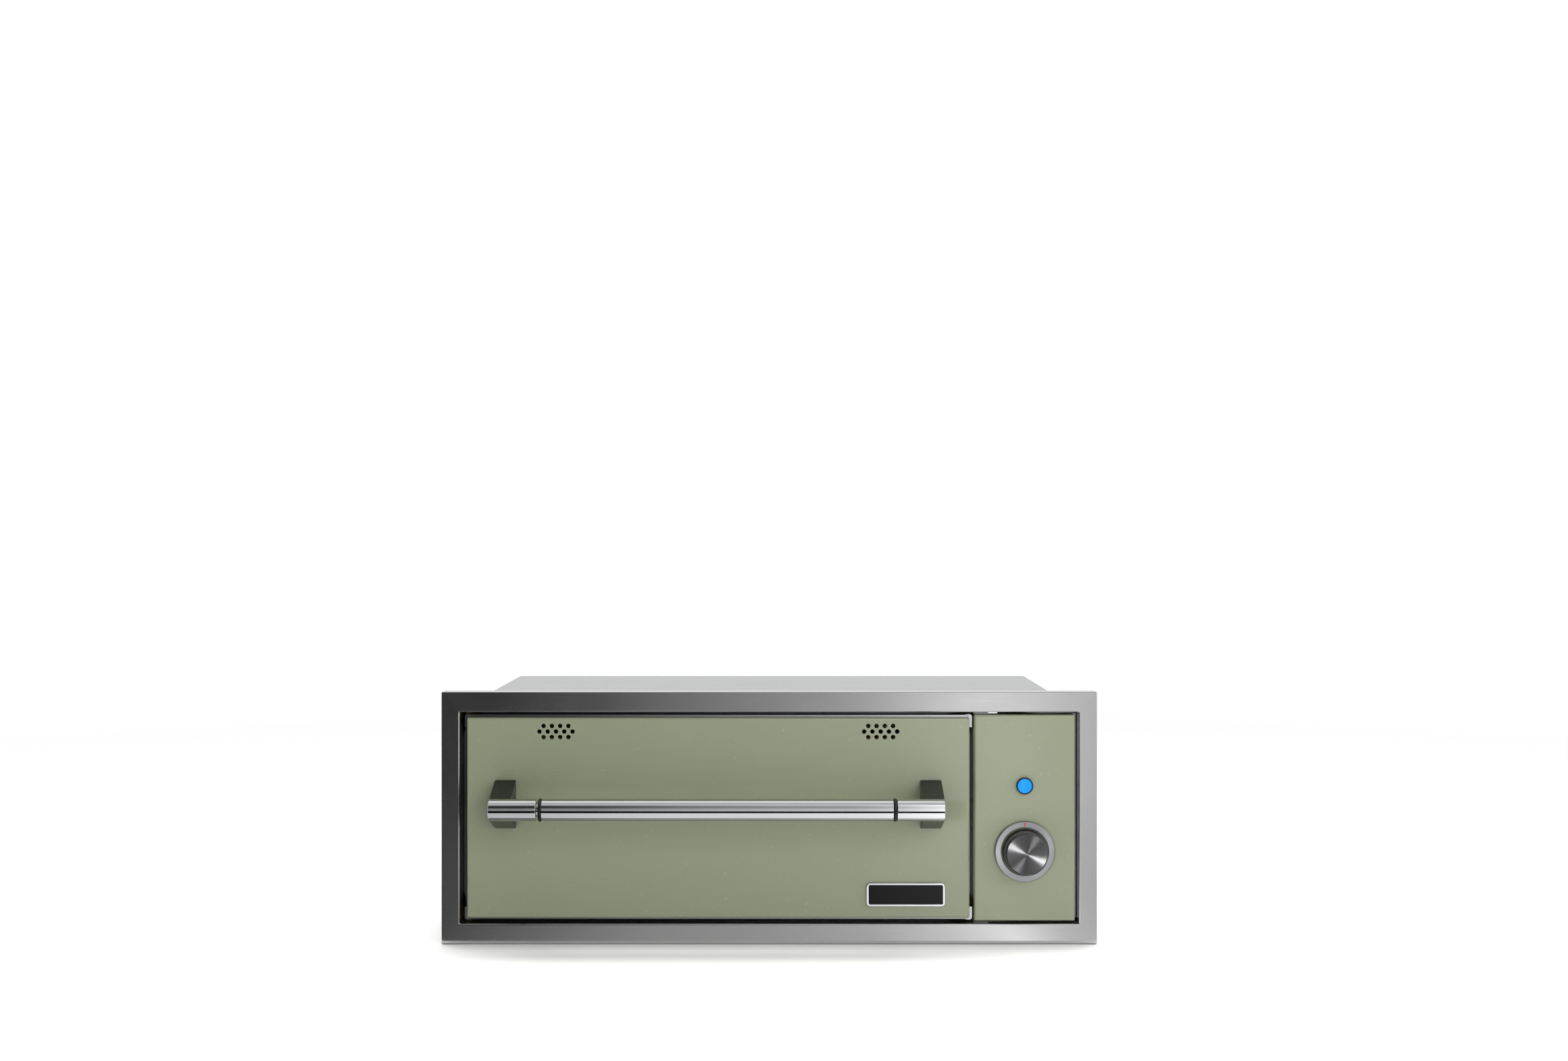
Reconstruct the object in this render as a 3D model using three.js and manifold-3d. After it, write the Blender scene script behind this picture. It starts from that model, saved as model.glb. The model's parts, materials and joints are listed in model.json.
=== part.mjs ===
// A built-in warming drawer of the 30-inch class: a stainless box that slides into a counter, with an
// enamelled drawer front, a control panel at its right, an insulated cavity and a heater under the pan.
// Every piece is laid out as seen from the front, in millimetres: x to the right, y up from the trim's
// lower edge, z towards the viewer from the trim's face. The last lines turn that to +Z up.
import * as THREE from "three";
import { mergeVertices } from "three/addons/utils/BufferGeometryUtils.js";
import Module from "manifold-3d";

const wasm = await Module();
wasm.setup();

// ---- Driving dimensions ----

// Gap between pieces that touch, how far a cutter runs past a face, and the sheets pieces are folded from
const fit = 0.3;
const overcut = 1;
const bodySheet = 1.2;
const enamelSheet = 1.0;
const panSheet = 0.9;
const foldRadius = 2;

// Trim frame around the cut-out
const trimWidth = 762;
const trimHeight = 293.5;
const trimSideFace = 21.7;
const trimEndFace = 24;
const trimOuterReturn = 19;
const trimInnerReturn = 15;
const trimHem = 8;
const trimCorner = 2;
const openingCorner = 1;

// Drawer front and control panel inside the trim
const faceSetback = 1.5;
const endGap = 2.75;
const backerSideGap = 4.6;
const controlSideGap = 3.9;
const partingGap = 1.5;
const controlWidth = 117.6;
const controlDepth = 18;
const panelInset = 3.5;
const panelDepth = 8;
const panelFold = 3;
const backerDepth = 24;
const cornerTab = 15;

// Vent holes in the drawer front
const ventRows = [4, 5, 4];
const ventPitch = 9.6;
const ventRowPitch = 6.5;
const ventRadius = 2.5;
const ventFromSide = 103.4;
const ventFromTop = 16.3;
const ventWindowMargin = 3;

// Handle
const barRadius = 12.5;
const barFromTop = 100.6;
const barStandoff = 53;
const handleMargin = 32.8;
const handleEndLength = 54.2;
const postWidth = 24.5;
const postHeight = 56.5;
const postEase = 0.8;
const barEase = 0.4;
const ringWidth = 3.7;
const ringProud = 0.6;
const ringEase = 0.5;
const neckRadius = 7.8;
const neckEase = 0.2;
const neckGap = 2.2;
const screwRadius = 2.5;
const screwHeadRadius = 5;
const screwHeadHeight = 3;
const screwSpacing = 32;
const screwReach = 14;
const screwChamfer = 1;
const screwHoleClearance = 0.8;

// Badge plate, left bare
const badgeWidth = 91.4;
const badgeHeight = 27.5;
const badgeCorner = 4.5;
const badgeRim = 2.8;
const badgeThickness = 2.4;
const badgeRecess = 0.7;
const badgeEase = 0.6;
const badgeFromSide = 74.3;
const badgeFromBottom = 27.5;

// Knob, its bezel and the pilot lamp
const knobFromBottom = 81.3;
const lampAboveKnob = 76;
const bezelRadius = 35.2;
const bezelBore = 27.75;
const bezelHeight = 5;
const bezelChamfer = 0.9;
const knobFaceRadius = 24.7;
const knobBaseRadius = 26;
const knobAboveBezel = 22;
const knobChamfer = 1.6;
const knobWall = 2.4;
const knobHubRadius = 8;
const knobLift = 3.4;
const shaftRadius = 3;
const shaftGrip = 14;
const bushRadius = 4.75;
const nutRadius = 8;
const nutHeight = 2.6;
const lampBezelRadius = 9.8;
const lensRadius = 8.2;
const lampHeight = 4.5;
const lampEase = 0.6;
const lensEase = 0.4;
const lampWall = 0.9;
const lampBodyLength = 26;
const lampBodyTaper = 0.7;
const lampBodyFlange = 4;

// Housing, divider and control compartment
const insulation = 21.7;
const insulationSlack = 2.2;
const dividerClearance = 1.1;
const dividerFlange = 18;
const lipWidth = 15;
const backFlange = 12;
const backCorner = 4;
const wiringSpace = 12;
const coolingSlots = 7;
const slotWidth = 52;
const slotHeight = 4;
const slotPitch = 11;
const slotsFromTop = 30;
const controlBodyWidth = 44;
const controlBodyHeight = 50;
const controlBodyDepth = 30;
const controlBodyCorner = 4;
const terminalWidth = 6;
const terminalLength = 8;
const terminalSheet = 0.8;
const junctionWidth = 70;
const junctionHeight = 54;
const junctionDepth = 60;
const lidOverhang = 3;
const lidDrop = 4;
const lidRise = 1.5;
const glandRadius = 11;
const glandFlangeRadius = 15;
const glandFlange = 3;
const glandBore = 4.5;
const glandNose = 6;
const glandTaper = 3;

// Insulated cavity and its seal
const linerFlangeGap = 6.6;
const linerCorner = 8;
const linerFold = 6;
const gasketWidth = 9;
const gasketFromLiner = 2;
// Its section, as shares of its width and of its height
const gasketSection = [[0, 0], [0, 0.6], [0.2, 0.9], [0.5, 1], [0.8, 0.9], [1, 0.6], [1, 0]];

// Telescopic slides: three members, ball cages between them
const slideLength = 500;
const slideSetback = 6;
const slideRearRoom = 6;
const slideWidth = 12.7;
const slideHeight = 44.5;
const slideSheet = 1.2;
const slideAboveFloor = 83;
const ballRadius = 2.5;
const ballPlay = 0.25;
const ballsPerRow = 5;
const cageLength = 200;
const cageStart = 145;
const cageSheet = 0.6;
const rowStep = 5.85;
const racewayLip = 15;
const slideHoleRadius = 2.6;
const slideHoles = 3;

// Drawer frame and pan
const sideTopFlange = 8;
const sideDrop = 103;
const panDepth = 127;
const panPlay = 1;
const panCorner = 22;
const panFold = 12;
const panRim = 8;

// Heater and thermostat
const elementRadius = 4;
const elementBend = 25;
const elementInset = 55;
const elementRear = 60;
const elementFront = 60;
const elementHairpin = 70;
const elementTails = 30;
const elementPlay = 0.8;
const hairpinDepth = 350;
const elementAboveFloor = 14;
const panAboveElement = 12;
const tailReach = 5;
const clipWidth = 10;
const clipSheet = 1;
const clipFoot = 11;
const bulbRadius = 3.2;
const bulbLength = 80;
const bulbAboveSlide = 26;
const bulbFromRear = 60;
const capillaryRadius = 1.1;
const capillaryBend = 3;
const capillaryFromBody = 30;
const capillaryInBulb = 12;

// Steps that round shapes are drawn with
const cornerSteps = 3;
const foldSteps = 2;
const largeSides = 32;
const mediumSides = 24;
const smallSides = 12;
const holeSides = 8;
const glandSides = 16;
const rodSides = 8;
const capillarySides = 6;
const noseSteps = 10;
const ballSides = 6;
const ballRings = 4;

// ---- Places that follow from them ----

const midHeight = trimHeight / 2;
const openingWidth = trimWidth - 2 * trimSideFace;
const openingHeight = trimHeight - 2 * trimEndFace;
const frontHeight = openingHeight - 2 * endGap;
const frontTop = midHeight + frontHeight / 2;
const frontBottom = midHeight - frontHeight / 2;

const controlRight = openingWidth / 2 - controlSideGap;
const controlLeft = controlRight - controlWidth;
const controlX = controlRight - controlWidth / 2;
const controlBack = -faceSetback - controlDepth;
const controlInside = -faceSetback - enamelSheet;
const knobY = frontBottom + knobFromBottom;
const lampY = knobY + lampAboveKnob;

const backerLeft = -openingWidth / 2 + backerSideGap;
const backerRight = controlLeft - partingGap;
const panelLeft = backerLeft + panelInset;
const panelRight = backerRight - panelInset;
const panelTop = frontTop - panelInset;
const panelBottom = frontBottom + panelInset;
const panelWidth = panelRight - panelLeft;
const panelX = (panelLeft + panelRight) / 2;
const backerZ = -faceSetback - panelDepth - fit;
const innerPanelZ = backerZ - backerDepth - fit;
const drawerFrontBack = innerPanelZ - bodySheet;
const linerZ = drawerFrontBack - linerFlangeGap;

const wallX = openingWidth / 2 + bodySheet + fit;
const wallTop = midHeight + openingHeight / 2 + bodySheet + fit;
const wallBottom = midHeight - openingHeight / 2 - bodySheet - fit;
const floorTop = wallBottom + fit + bodySheet;
const wallStack = insulation + 2 * fit;
const dividerX = backerRight + dividerClearance;
const dividerFront = controlBack - fit;

const linerLeft = -wallX + wallStack;
const linerRight = dividerX - wallStack;
const linerBottom = floorTop + wallStack;
const linerTop = wallTop - wallStack;
const linerX = (linerLeft + linerRight) / 2;
const linerY = (linerBottom + linerTop) / 2;
const cavityFloor = linerBottom + bodySheet;
const linerBack = linerZ - slideSetback - slideLength - slideRearRoom - bodySheet;
const housingBack = linerBack - wallStack - wiringSpace - bodySheet;

const slideFront = linerZ - slideSetback;
const slideBack = slideFront - slideLength;
const slideY = cavityFloor + slideAboveFloor;
const slideWall = { left: linerLeft + bodySheet + fit, right: linerRight - bodySheet - fit };
const sideWallLeft = slideWall.left + slideWidth + fit;
const sideWallRight = slideWall.right - slideWidth - fit;

const elementY = cavityFloor + elementAboveFloor;
const panBottom = elementY + elementRadius + panAboveElement;
const rimTop = panBottom + panDepth;
const sideTop = rimTop - panSheet - fit;
const panLeft = sideWallLeft + bodySheet + panPlay;
const panRight = sideWallRight - bodySheet - panPlay;
const panFront = drawerFrontBack - fit - panRim;
const panBack = slideBack + sideTopFlange + bodySheet + panPlay;

const barY = panelTop - barFromTop;
const barZ = -faceSetback + barStandoff;
const handleLeft = panelLeft + handleMargin;
const handleRight = panelRight - handleMargin;

// ---- Forms ----

// Points of an arc in a plane, angles in degrees.
function arc(x, y, radius, from, to, steps) {
  return Array.from({ length: steps + 1 }, (_, i) => {
    const angle = THREE.MathUtils.degToRad(from + ((to - from) * i) / steps);
    return new THREE.Vector2(x + radius * Math.cos(angle), y + radius * Math.sin(angle));
  });
}

function roundedRectangle(width, height, radius, steps = cornerSteps) {
  const r = Math.max(radius, 0);
  const quadrants = [[1, 1], [-1, 1], [-1, -1], [1, -1]];
  return quadrants.flatMap(([sx, sy], i) =>
    arc(sx * (width / 2 - r), sy * (height / 2 - r), r, 90 * i, 90 * (i + 1), steps));
}

function loopAt(width, height, radius, z) {
  return roundedRectangle(width, height, radius).map((p) => new THREE.Vector3(p.x, p.y, z));
}

// A closed surface through loops of equal count. A ring joins its last loop to its first;
// otherwise both ends are capped.
function skin(loops, ring = false) {
  const count = loops[0].length;
  const faces = [];
  const bands = ring ? loops.length : loops.length - 1;
  for (let k = 0; k < bands; k++) {
    const here = k * count;
    const next = ((k + 1) % loops.length) * count;
    for (let i = 0; i < count; i++) {
      const j = (i + 1) % count;
      faces.push(here + i, next + i, here + j, here + j, next + i, next + j);
    }
  }
  if (!ring) {
    const last = (loops.length - 1) * count;
    for (let i = 1; i < count - 1; i++) {
      faces.push(0, i, i + 1, last, last + i + 1, last + i);
    }
  }
  const geometry = new THREE.BufferGeometry().setFromPoints(loops.flat());
  return geometry.setIndex(faces);
}

// A geometry as a closed solid: shared corners merged and collapsed faces dropped.
function solidOf(geometry) {
  const bare = geometry.clone();
  bare.deleteAttribute("normal");
  bare.deleteAttribute("uv");
  const merged = mergeVertices(bare, 1e-4);
  const corners = merged.index.array;
  const faces = [];
  for (let i = 0; i < corners.length; i += 3) {
    const [a, b, c] = corners.slice(i, i + 3);
    if (a !== b && b !== c && c !== a) faces.push(a, b, c);
  }
  return new wasm.Manifold(new wasm.Mesh({
    numProp: 3,
    vertProperties: merged.attributes.position.array,
    triVerts: new Uint32Array(faces),
  }));
}

function geometryOf(solid) {
  const mesh = solid.getMesh();
  const geometry = new THREE.BufferGeometry();
  geometry.setAttribute("position", new THREE.BufferAttribute(mesh.vertProperties, 3));
  geometry.setIndex(new THREE.BufferAttribute(mesh.triVerts, 1));
  return geometry;
}

function join(...pieces) {
  return geometryOf(pieces.map(solidOf).reduce((whole, piece) => whole.add(piece)));
}

function cut(base, ...tools) {
  return geometryOf(tools.map(solidOf).reduce((rest, tool) => rest.subtract(tool), solidOf(base)));
}

// A block between two corners.
function block(x0, x1, y0, y1, z0, z1) {
  const box = new THREE.BoxGeometry(Math.abs(x1 - x0), Math.abs(y1 - y0), Math.abs(z1 - z0));
  return box.translate((x0 + x1) / 2, (y0 + y1) / 2, (z0 + z1) / 2);
}

// A profile of [radius, height] pairs turned round the viewer's axis; it runs anticlockwise.
function turned(profile, sides) {
  const points = profile.map(([radius, height]) => new THREE.Vector2(radius, height));
  return new THREE.LatheGeometry(points, sides).rotateX(Math.PI / 2);
}

// A solid rod along z from one depth to another.
function rod(radius, z0, z1, sides) {
  return turned([[0, z0], [radius, z0], [radius, z1], [0, z1]], sides);
}

// The section of a folded sheet: a centre line with its corners rounded, given its thickness.
function sheetSection(path, sheet) {
  const side = (sign) => path.map((point, i) => {
    const before = path[i - 1] ?? point.clone().multiplyScalar(2).sub(path[i + 1]);
    const after = path[i + 1] ?? point.clone().multiplyScalar(2).sub(path[i - 1]);
    const arriving = point.clone().sub(before).normalize();
    const leaving = after.clone().sub(point).normalize();
    const along = arriving.clone().add(leaving).normalize();
    const across = new THREE.Vector2(-along.y, along.x);
    return point.clone().addScaledVector(across, (sign * sheet) / 2 / along.dot(leaving));
  });
  return new THREE.Shape([...side(1), ...side(-1).reverse()]);
}

// A polyline of [a, b] corners with every inner corner rounded.
function folded(corners, radius, steps = foldSteps) {
  const points = corners.map(([a, b]) => new THREE.Vector2(a, b));
  return points.flatMap((point, i) => {
    if (i === 0 || i === points.length - 1) return [point];
    const back = points[i - 1].clone().sub(point).normalize();
    const on = points[i + 1].clone().sub(point).normalize();
    const half = Math.acos(THREE.MathUtils.clamp(back.dot(on), -1, 1)) / 2;
    const start = point.clone().addScaledVector(back, radius / Math.tan(half));
    const end = point.clone().addScaledVector(on, radius / Math.tan(half));
    const towards = back.clone().add(on).normalize();
    const centre = point.clone().addScaledVector(towards, radius / Math.sin(half));
    return Array.from({ length: steps + 1 }, (_, k) => {
      const chord = start.clone().lerp(end, k / steps).sub(centre).normalize();
      return centre.clone().addScaledVector(chord, radius);
    });
  });
}

// A shape drawn in x and y, run back along z from one depth to another.
function alongZ(shape, z0, z1) {
  const geometry = new THREE.ExtrudeGeometry(shape, { depth: Math.abs(z1 - z0), bevelEnabled: false });
  return geometry.translate(0, 0, Math.min(z0, z1));
}

// A shape drawn in x and depth behind the trim's face, run up along y.
function alongY(shape, y0, y1) {
  const geometry = new THREE.ExtrudeGeometry(shape, { depth: y1 - y0, bevelEnabled: false });
  return geometry.rotateX(-Math.PI / 2).translate(0, y0, 0);
}

// A shape drawn in depth behind the trim's face and y, run across along x.
function alongX(shape, x0, x1, options = {}) {
  const geometry = new THREE.ExtrudeGeometry(shape, { depth: x1 - x0, bevelEnabled: false, ...options });
  return geometry.rotateY(Math.PI / 2).translate(x0, 0, 0);
}

function slotShape(x, y, width, height) {
  const points = roundedRectangle(width, height, height / 2, 2).map((p) => p.add(new THREE.Vector2(x, y)));
  return new THREE.Shape(points);
}

// A folded pan: its face at z = 0 looks at the viewer, its walls run back, and an optional
// flange turns outwards at their open edge.
function formedPan({ width, height, depth, sheet, fold, corner, flange = 0 }) {
  const lip = flange ? foldRadius : 0;
  const outside = arc(-fold, -fold, fold, 90, 0, foldSteps);
  const inside = arc(-fold, -fold, fold - sheet, 0, 90, foldSteps);
  const turn = sheet + lip - depth;
  const edge = flange
    ? [
        ...arc(lip, turn, lip, 180, 270, foldSteps),
        new THREE.Vector2(flange, sheet - depth),
        new THREE.Vector2(flange, -depth),
        ...arc(lip, turn, lip + sheet, 270, 180, foldSteps),
      ]
    : [new THREE.Vector2(0, -depth), new THREE.Vector2(-sheet, -depth)];
  return skin([...outside, ...edge, ...inside].map(({ x: grow, y: z }) =>
    loopAt(width + 2 * grow, height + 2 * grow, corner + grow, z)));
}

// A rod bent along a polyline in space, with round corners, straight out of both ends.
class BentPath extends THREE.Curve {
  constructor(points) {
    super();
    this.points = points;
  }
  getPoint(t, target = new THREE.Vector3()) {
    const place = THREE.MathUtils.clamp(t, 0, 1) * (this.points.length - 1);
    const first = Math.min(Math.floor(place + 1e-9), this.points.length - 2);
    return target.lerpVectors(this.points[first], this.points[first + 1], place - first);
  }
  getPointAt(u, target) {
    return this.getPoint(u, target);
  }
  getTangentAt(u, target) {
    return this.getTangent(u, target);
  }
}

function bentRod(corners, radius, bend, sides) {
  const points = corners.flatMap((corner, i) => {
    if (i === 0 || i === corners.length - 1) return [corner];
    const start = corner.clone().add(corners[i - 1].clone().sub(corner).setLength(bend));
    const end = corner.clone().add(corners[i + 1].clone().sub(corner).setLength(bend));
    return new THREE.QuadraticBezierCurve3(start, corner, end).getPoints(cornerSteps);
  });
  const section = new THREE.Shape(arc(0, 0, radius, 0, 360 - 360 / sides, sides - 1));
  return new THREE.ExtrudeGeometry(section, {
    steps: points.length - 1,
    extrudePath: new BentPath(points),
    bevelEnabled: false,
  });
}

// ---- Materials ----

function finish(colour, roughness, metalness) {
  return new THREE.MeshStandardMaterial({ color: colour, roughness, metalness });
}

const brushedSteel = finish(0xb9bbbd, 0.34, 1);
const millSteel = finish(0xa9abad, 0.45, 1);
const polishedSteel = finish(0xd6d8da, 0.12, 1);
const sageEnamel = finish(0x8f967d, 0.22, 0);
const zincPlate = finish(0xb4b8bd, 0.4, 1);
const mineralWool = finish(0xd8cfa8, 0.95, 0);
const blackRubber = finish(0x141414, 0.7, 0);
const blackResin = finish(0x1b1c1e, 0.5, 0);
const blueLens = finish(0x0d8df2, 0.15, 0);
const sheathedRod = finish(0x4b4a47, 0.55, 1);
const copperTube = finish(0xb0643c, 0.4, 1);

// ---- Pieces ----

// The trim: one continuous folded section round the opening, welded at its corners.
function trimFrame() {
  const sheet = bodySheet;
  const outer = ({ x: inset, y: z }) =>
    loopAt(trimWidth - 2 * inset, trimHeight - 2 * inset, trimCorner - inset, z);
  const inner = ({ x: outset, y: z }) =>
    loopAt(openingWidth + 2 * outset, openingHeight + 2 * outset, openingCorner + outset, z);
  const at = (x, y) => new THREE.Vector2(x, y);
  const bend = (radius, from, to) => arc(foldRadius, -foldRadius, radius, from, to, foldSteps);
  const hemY = foldRadius - trimOuterReturn;
  const hemBend = (radius, from, to) => arc(foldRadius, hemY, radius, from, to, foldSteps);
  const inside = foldRadius - sheet;
  return skin([
    inner(at(0, -trimInnerReturn)),
    ...bend(foldRadius, 180, 90).map(inner),
    ...bend(foldRadius, 90, 180).map(outer),
    ...hemBend(foldRadius, 180, 270).map(outer),
    outer(at(trimHem, -trimOuterReturn)),
    outer(at(trimHem, sheet - trimOuterReturn)),
    ...hemBend(inside, 270, 180).map(outer),
    ...bend(inside, 180, 90).map(outer),
    ...bend(inside, 90, 180).map(inner),
    inner(at(sheet, -trimInnerReturn)),
  ], true).translate(0, midHeight, 0);
}

// Top and sides in one sheet, with lips that carry the base plate.
function housingWrapper() {
  const x = wallX + bodySheet / 2;
  const top = wallTop + bodySheet / 2;
  const bottom = wallBottom - bodySheet / 2;
  const path = folded([
    [lipWidth - x, bottom], [-x, bottom], [-x, top], [x, top], [x, bottom], [x - lipWidth, bottom],
  ], foldRadius);
  return alongZ(sheetSection(path, bodySheet), -foldRadius - fit, housingBack);
}

function basePlate() {
  const half = wallX - foldRadius - fit;
  return block(-half, half, wallBottom + fit, floorTop, -trimInnerReturn - fit, housingBack);
}

const glandY = floorTop + fit + junctionHeight / 2;
const junctionBack = housingBack + backFlange + fit;

// The rear cover, with cooling slots behind the control compartment and the supply's entry.
function backPanel() {
  const width = 2 * (wallX - fit);
  const height = wallTop - floorTop - 2 * fit;
  const y = (wallTop + floorTop) / 2;
  const pan = formedPan({
    width, height, depth: backFlange, sheet: bodySheet, fold: foldRadius, corner: backCorner,
  }).rotateY(Math.PI).translate(0, y, housingBack);
  const through = [housingBack - overcut, housingBack + backFlange];
  const slots = Array.from({ length: coolingSlots }, (_, i) => {
    const slotY = wallTop - slotsFromTop - i * slotPitch;
    return alongZ(slotShape(controlX, slotY, slotWidth, slotHeight), ...through);
  });
  const entry = rod(glandRadius + fit, ...through, glandSides);
  return cut(pan, ...slots, entry.translate(controlX, glandY, 0));
}

const capillaryY = slideY + bulbAboveSlide;
const capillaryZ = slideBack + bulbFromRear - bulbLength / 2;

// Holes along x through the walls between the cavity and the control compartment.
function capillaryHole() {
  const reach = [linerRight - 2 * wallStack, dividerX + wallStack];
  const radius = 2 * capillaryRadius;
  const hole = new THREE.CylinderGeometry(radius, radius, reach[1] - reach[0], smallSides);
  return hole.rotateZ(Math.PI / 2).translate((reach[0] + reach[1]) / 2, capillaryY, capillaryZ);
}

// The wall between the heated cavity and the control compartment; its flange carries the panel.
function dividerWall() {
  const x = dividerX + bodySheet / 2;
  const front = -dividerFront + bodySheet / 2;
  const back = -(housingBack + backFlange + fit);
  const path = folded([[x + dividerFlange, front], [x, front], [x, back]], foldRadius);
  return cut(alongY(sheetSection(path, bodySheet), floorTop + fit, wallTop - fit), capillaryHole());
}

// The angle that carries the control panel's right edge.
function controlBracket() {
  const x = wallX - fit - bodySheet / 2;
  const front = -dividerFront + bodySheet / 2;
  const path = folded([[x - dividerFlange, front], [x, front], [x, front + 2 * dividerFlange]], foldRadius);
  return alongY(sheetSection(path, bodySheet), floorTop + backCorner, wallTop - backCorner);
}

function cavityLiner() {
  const pan = formedPan({
    width: linerRight - linerLeft,
    height: linerTop - linerBottom,
    depth: linerZ - linerBack,
    sheet: bodySheet,
    fold: linerFold,
    corner: linerCorner,
    flange: wallStack - fit,
  }).rotateY(Math.PI).translate(linerX, linerY, linerBack);
  return cut(pan, ...elementPassages(), capillaryHole());
}

// Clearance holes for the two tails of the heating element.
function elementPassages() {
  return [-1, 1].map((side) =>
    rod(elementRadius + elementPlay, linerBack - wallStack - overcut, linerBack + 2 * linerFold, smallSides)
      .translate(linerX + side * elementTails, elementY, 0));
}

// A soft seal round the cavity's mouth, flat at the back and crowned at the front.
function doorGasket() {
  const back = linerZ + fit;
  const crown = drawerFrontBack - fit;
  const loops = gasketSection.map(([across, up]) => {
    const grow = gasketFromLiner + across * gasketWidth;
    const width = linerRight - linerLeft + 2 * grow;
    const height = linerTop - linerBottom + 2 * grow;
    return loopAt(width, height, linerCorner + grow, back + up * (crown - back));
  });
  return skin(loops, true).translate(linerX, linerY, 0);
}

// The five slabs of mineral wool between the liner and the housing.
function insulationSlabs() {
  const left = -wallX + insulationSlack;
  const right = dividerX - fit;
  const bottom = floorTop + fit;
  const top = wallTop - insulationSlack;
  const front = linerZ - bodySheet - foldRadius - fit;
  const rear = linerBack - fit;
  const far = linerBack - wallStack + fit;
  const rearSlab = block(left, right, bottom, top, rear, far);
  return {
    insulation_top: block(left, right, linerTop + fit, top, front, linerBack),
    insulation_bottom: block(left, right, bottom, linerBottom - fit, front, linerBack),
    insulation_left: block(left, linerLeft - fit, linerBottom, linerTop, front, linerBack),
    insulation_right: cut(
      block(linerRight + fit, right, linerBottom, linerTop, front, linerBack), capillaryHole()),
    insulation_rear: cut(rearSlab, ...elementPassages()),
  };
}

function controlPanel() {
  const pan = formedPan({
    width: controlWidth, height: frontHeight, depth: controlDepth,
    sheet: enamelSheet, fold: panelFold, corner: foldRadius,
  }).translate(controlX, midHeight, -faceSetback);
  const through = [-faceSetback + overcut, controlInside - overcut];
  const shaftHole = rod(bushRadius + fit, through[1], through[0], smallSides).translate(controlX, knobY, 0);
  const lampHole = rod(lensRadius - lampWall + fit, through[1], through[0], smallSides);
  return cut(pan, shaftHole, lampHole.translate(controlX, lampY, 0));
}

// The flat ring round the knob, with a polished outer edge.
function knobBezel() {
  const back = fit;
  const front = bezelHeight;
  return turned([
    [bezelBore, back], [bezelRadius, back], [bezelRadius, front - bezelChamfer],
    [bezelRadius - bezelChamfer, front], [bezelBore + bezelChamfer / 2, front],
    [bezelBore, front - bezelChamfer / 2], [bezelBore, back],
  ], largeSides);
}

// A cap turned from bar, hollow round the hub that grips the shaft.
function knobCap() {
  const front = bezelHeight + knobAboveBezel;
  const ceiling = front - knobWall;
  return turned([
    [0, knobLift + shaftGrip], [shaftRadius + fit, knobLift + shaftGrip], [shaftRadius + fit, knobLift],
    [knobHubRadius, knobLift], [knobHubRadius, ceiling], [knobBaseRadius - knobWall, ceiling],
    [knobBaseRadius - knobWall, knobLift], [knobBaseRadius, knobLift],
    [knobBaseRadius, knobLift + knobChamfer], [knobFaceRadius, front - 2 * knobChamfer],
    [knobFaceRadius, front - knobChamfer], [knobFaceRadius - knobChamfer, front], [0, front],
  ], largeSides);
}

function controlShaft() {
  const back = -controlBodyDepth / 2;
  return rod(shaftRadius, back, knobLift + shaftGrip - fit, smallSides);
}

// The thermostat: a moulded body with a threaded bush and four blade terminals.
function thermostatBody() {
  const front = -enamelSheet - fit;
  const back = front - controlBodyDepth;
  const outline = new THREE.Shape(roundedRectangle(controlBodyWidth, controlBodyHeight, controlBodyCorner));
  const shell = alongZ(outline, back, front);
  const bush = rod(bushRadius, front - overcut, nutHeight + 2 * fit, smallSides);
  const terminal = block(
    -terminalWidth / 2, terminalWidth / 2, -terminalSheet / 2, terminalSheet / 2, back - terminalLength,
    back + overcut);
  const blades = [-1, 1].flatMap((sx) => [-1, 1].map((sy) =>
    terminal.clone().translate(sx * controlBodyWidth / 4, sy * controlBodyHeight / 4, 0)));
  const bore = rod(shaftRadius + fit, -controlBodyDepth / 2 - fit, knobLift, smallSides);
  return cut(join(shell, bush, ...blades), bore);
}

function controlNut() {
  const hexagon = new THREE.Shape(arc(0, 0, nutRadius, 0, 300, 5));
  const nut = alongZ(hexagon, fit, fit + nutHeight);
  return cut(nut, rod(bushRadius + fit, 0, 2 * nutHeight, smallSides));
}

function lampBezel() {
  const bore = lensRadius + fit;
  return turned([
    [bore, fit], [lampBezelRadius, fit], [lampBezelRadius, lampHeight - lampEase],
    [lampBezelRadius - lampEase, lampHeight], [bore, lampHeight], [bore, fit],
  ], mediumSides);
}

function lampLens() {
  return turned([
    [0, fit], [lensRadius, fit], [lensRadius, lampHeight - lensEase],
    [lensRadius - lensEase, lampHeight], [0, lampHeight],
  ], mediumSides);
}

function lampBody() {
  const radius = lensRadius - lampWall;
  const rim = radius + lampBodyFlange;
  const flange = -enamelSheet - fit;
  return turned([
    [0, -lampBodyLength], [radius * lampBodyTaper, -lampBodyLength],
    [radius, -lampBodyLength * lampBodyTaper], [radius, flange - lampBodyFlange],
    [rim, flange - lampBodyFlange], [rim, flange], [radius, flange], [radius, 0], [0, 0],
  ], smallSides);
}

function junctionBox() {
  const y = [floorTop + fit, floorTop + fit + junctionHeight];
  const back = junctionBack;
  const x = junctionWidth / 2;
  const body = block(-x, x, ...y, back, back + junctionDepth);
  const wide = x + lidOverhang;
  const lid = block(-wide, wide, y[1] - lidDrop, y[1] + lidRise, back, back + junctionDepth + lidOverhang);
  return join(body, lid).translate(controlX, 0, 0);
}

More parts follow.
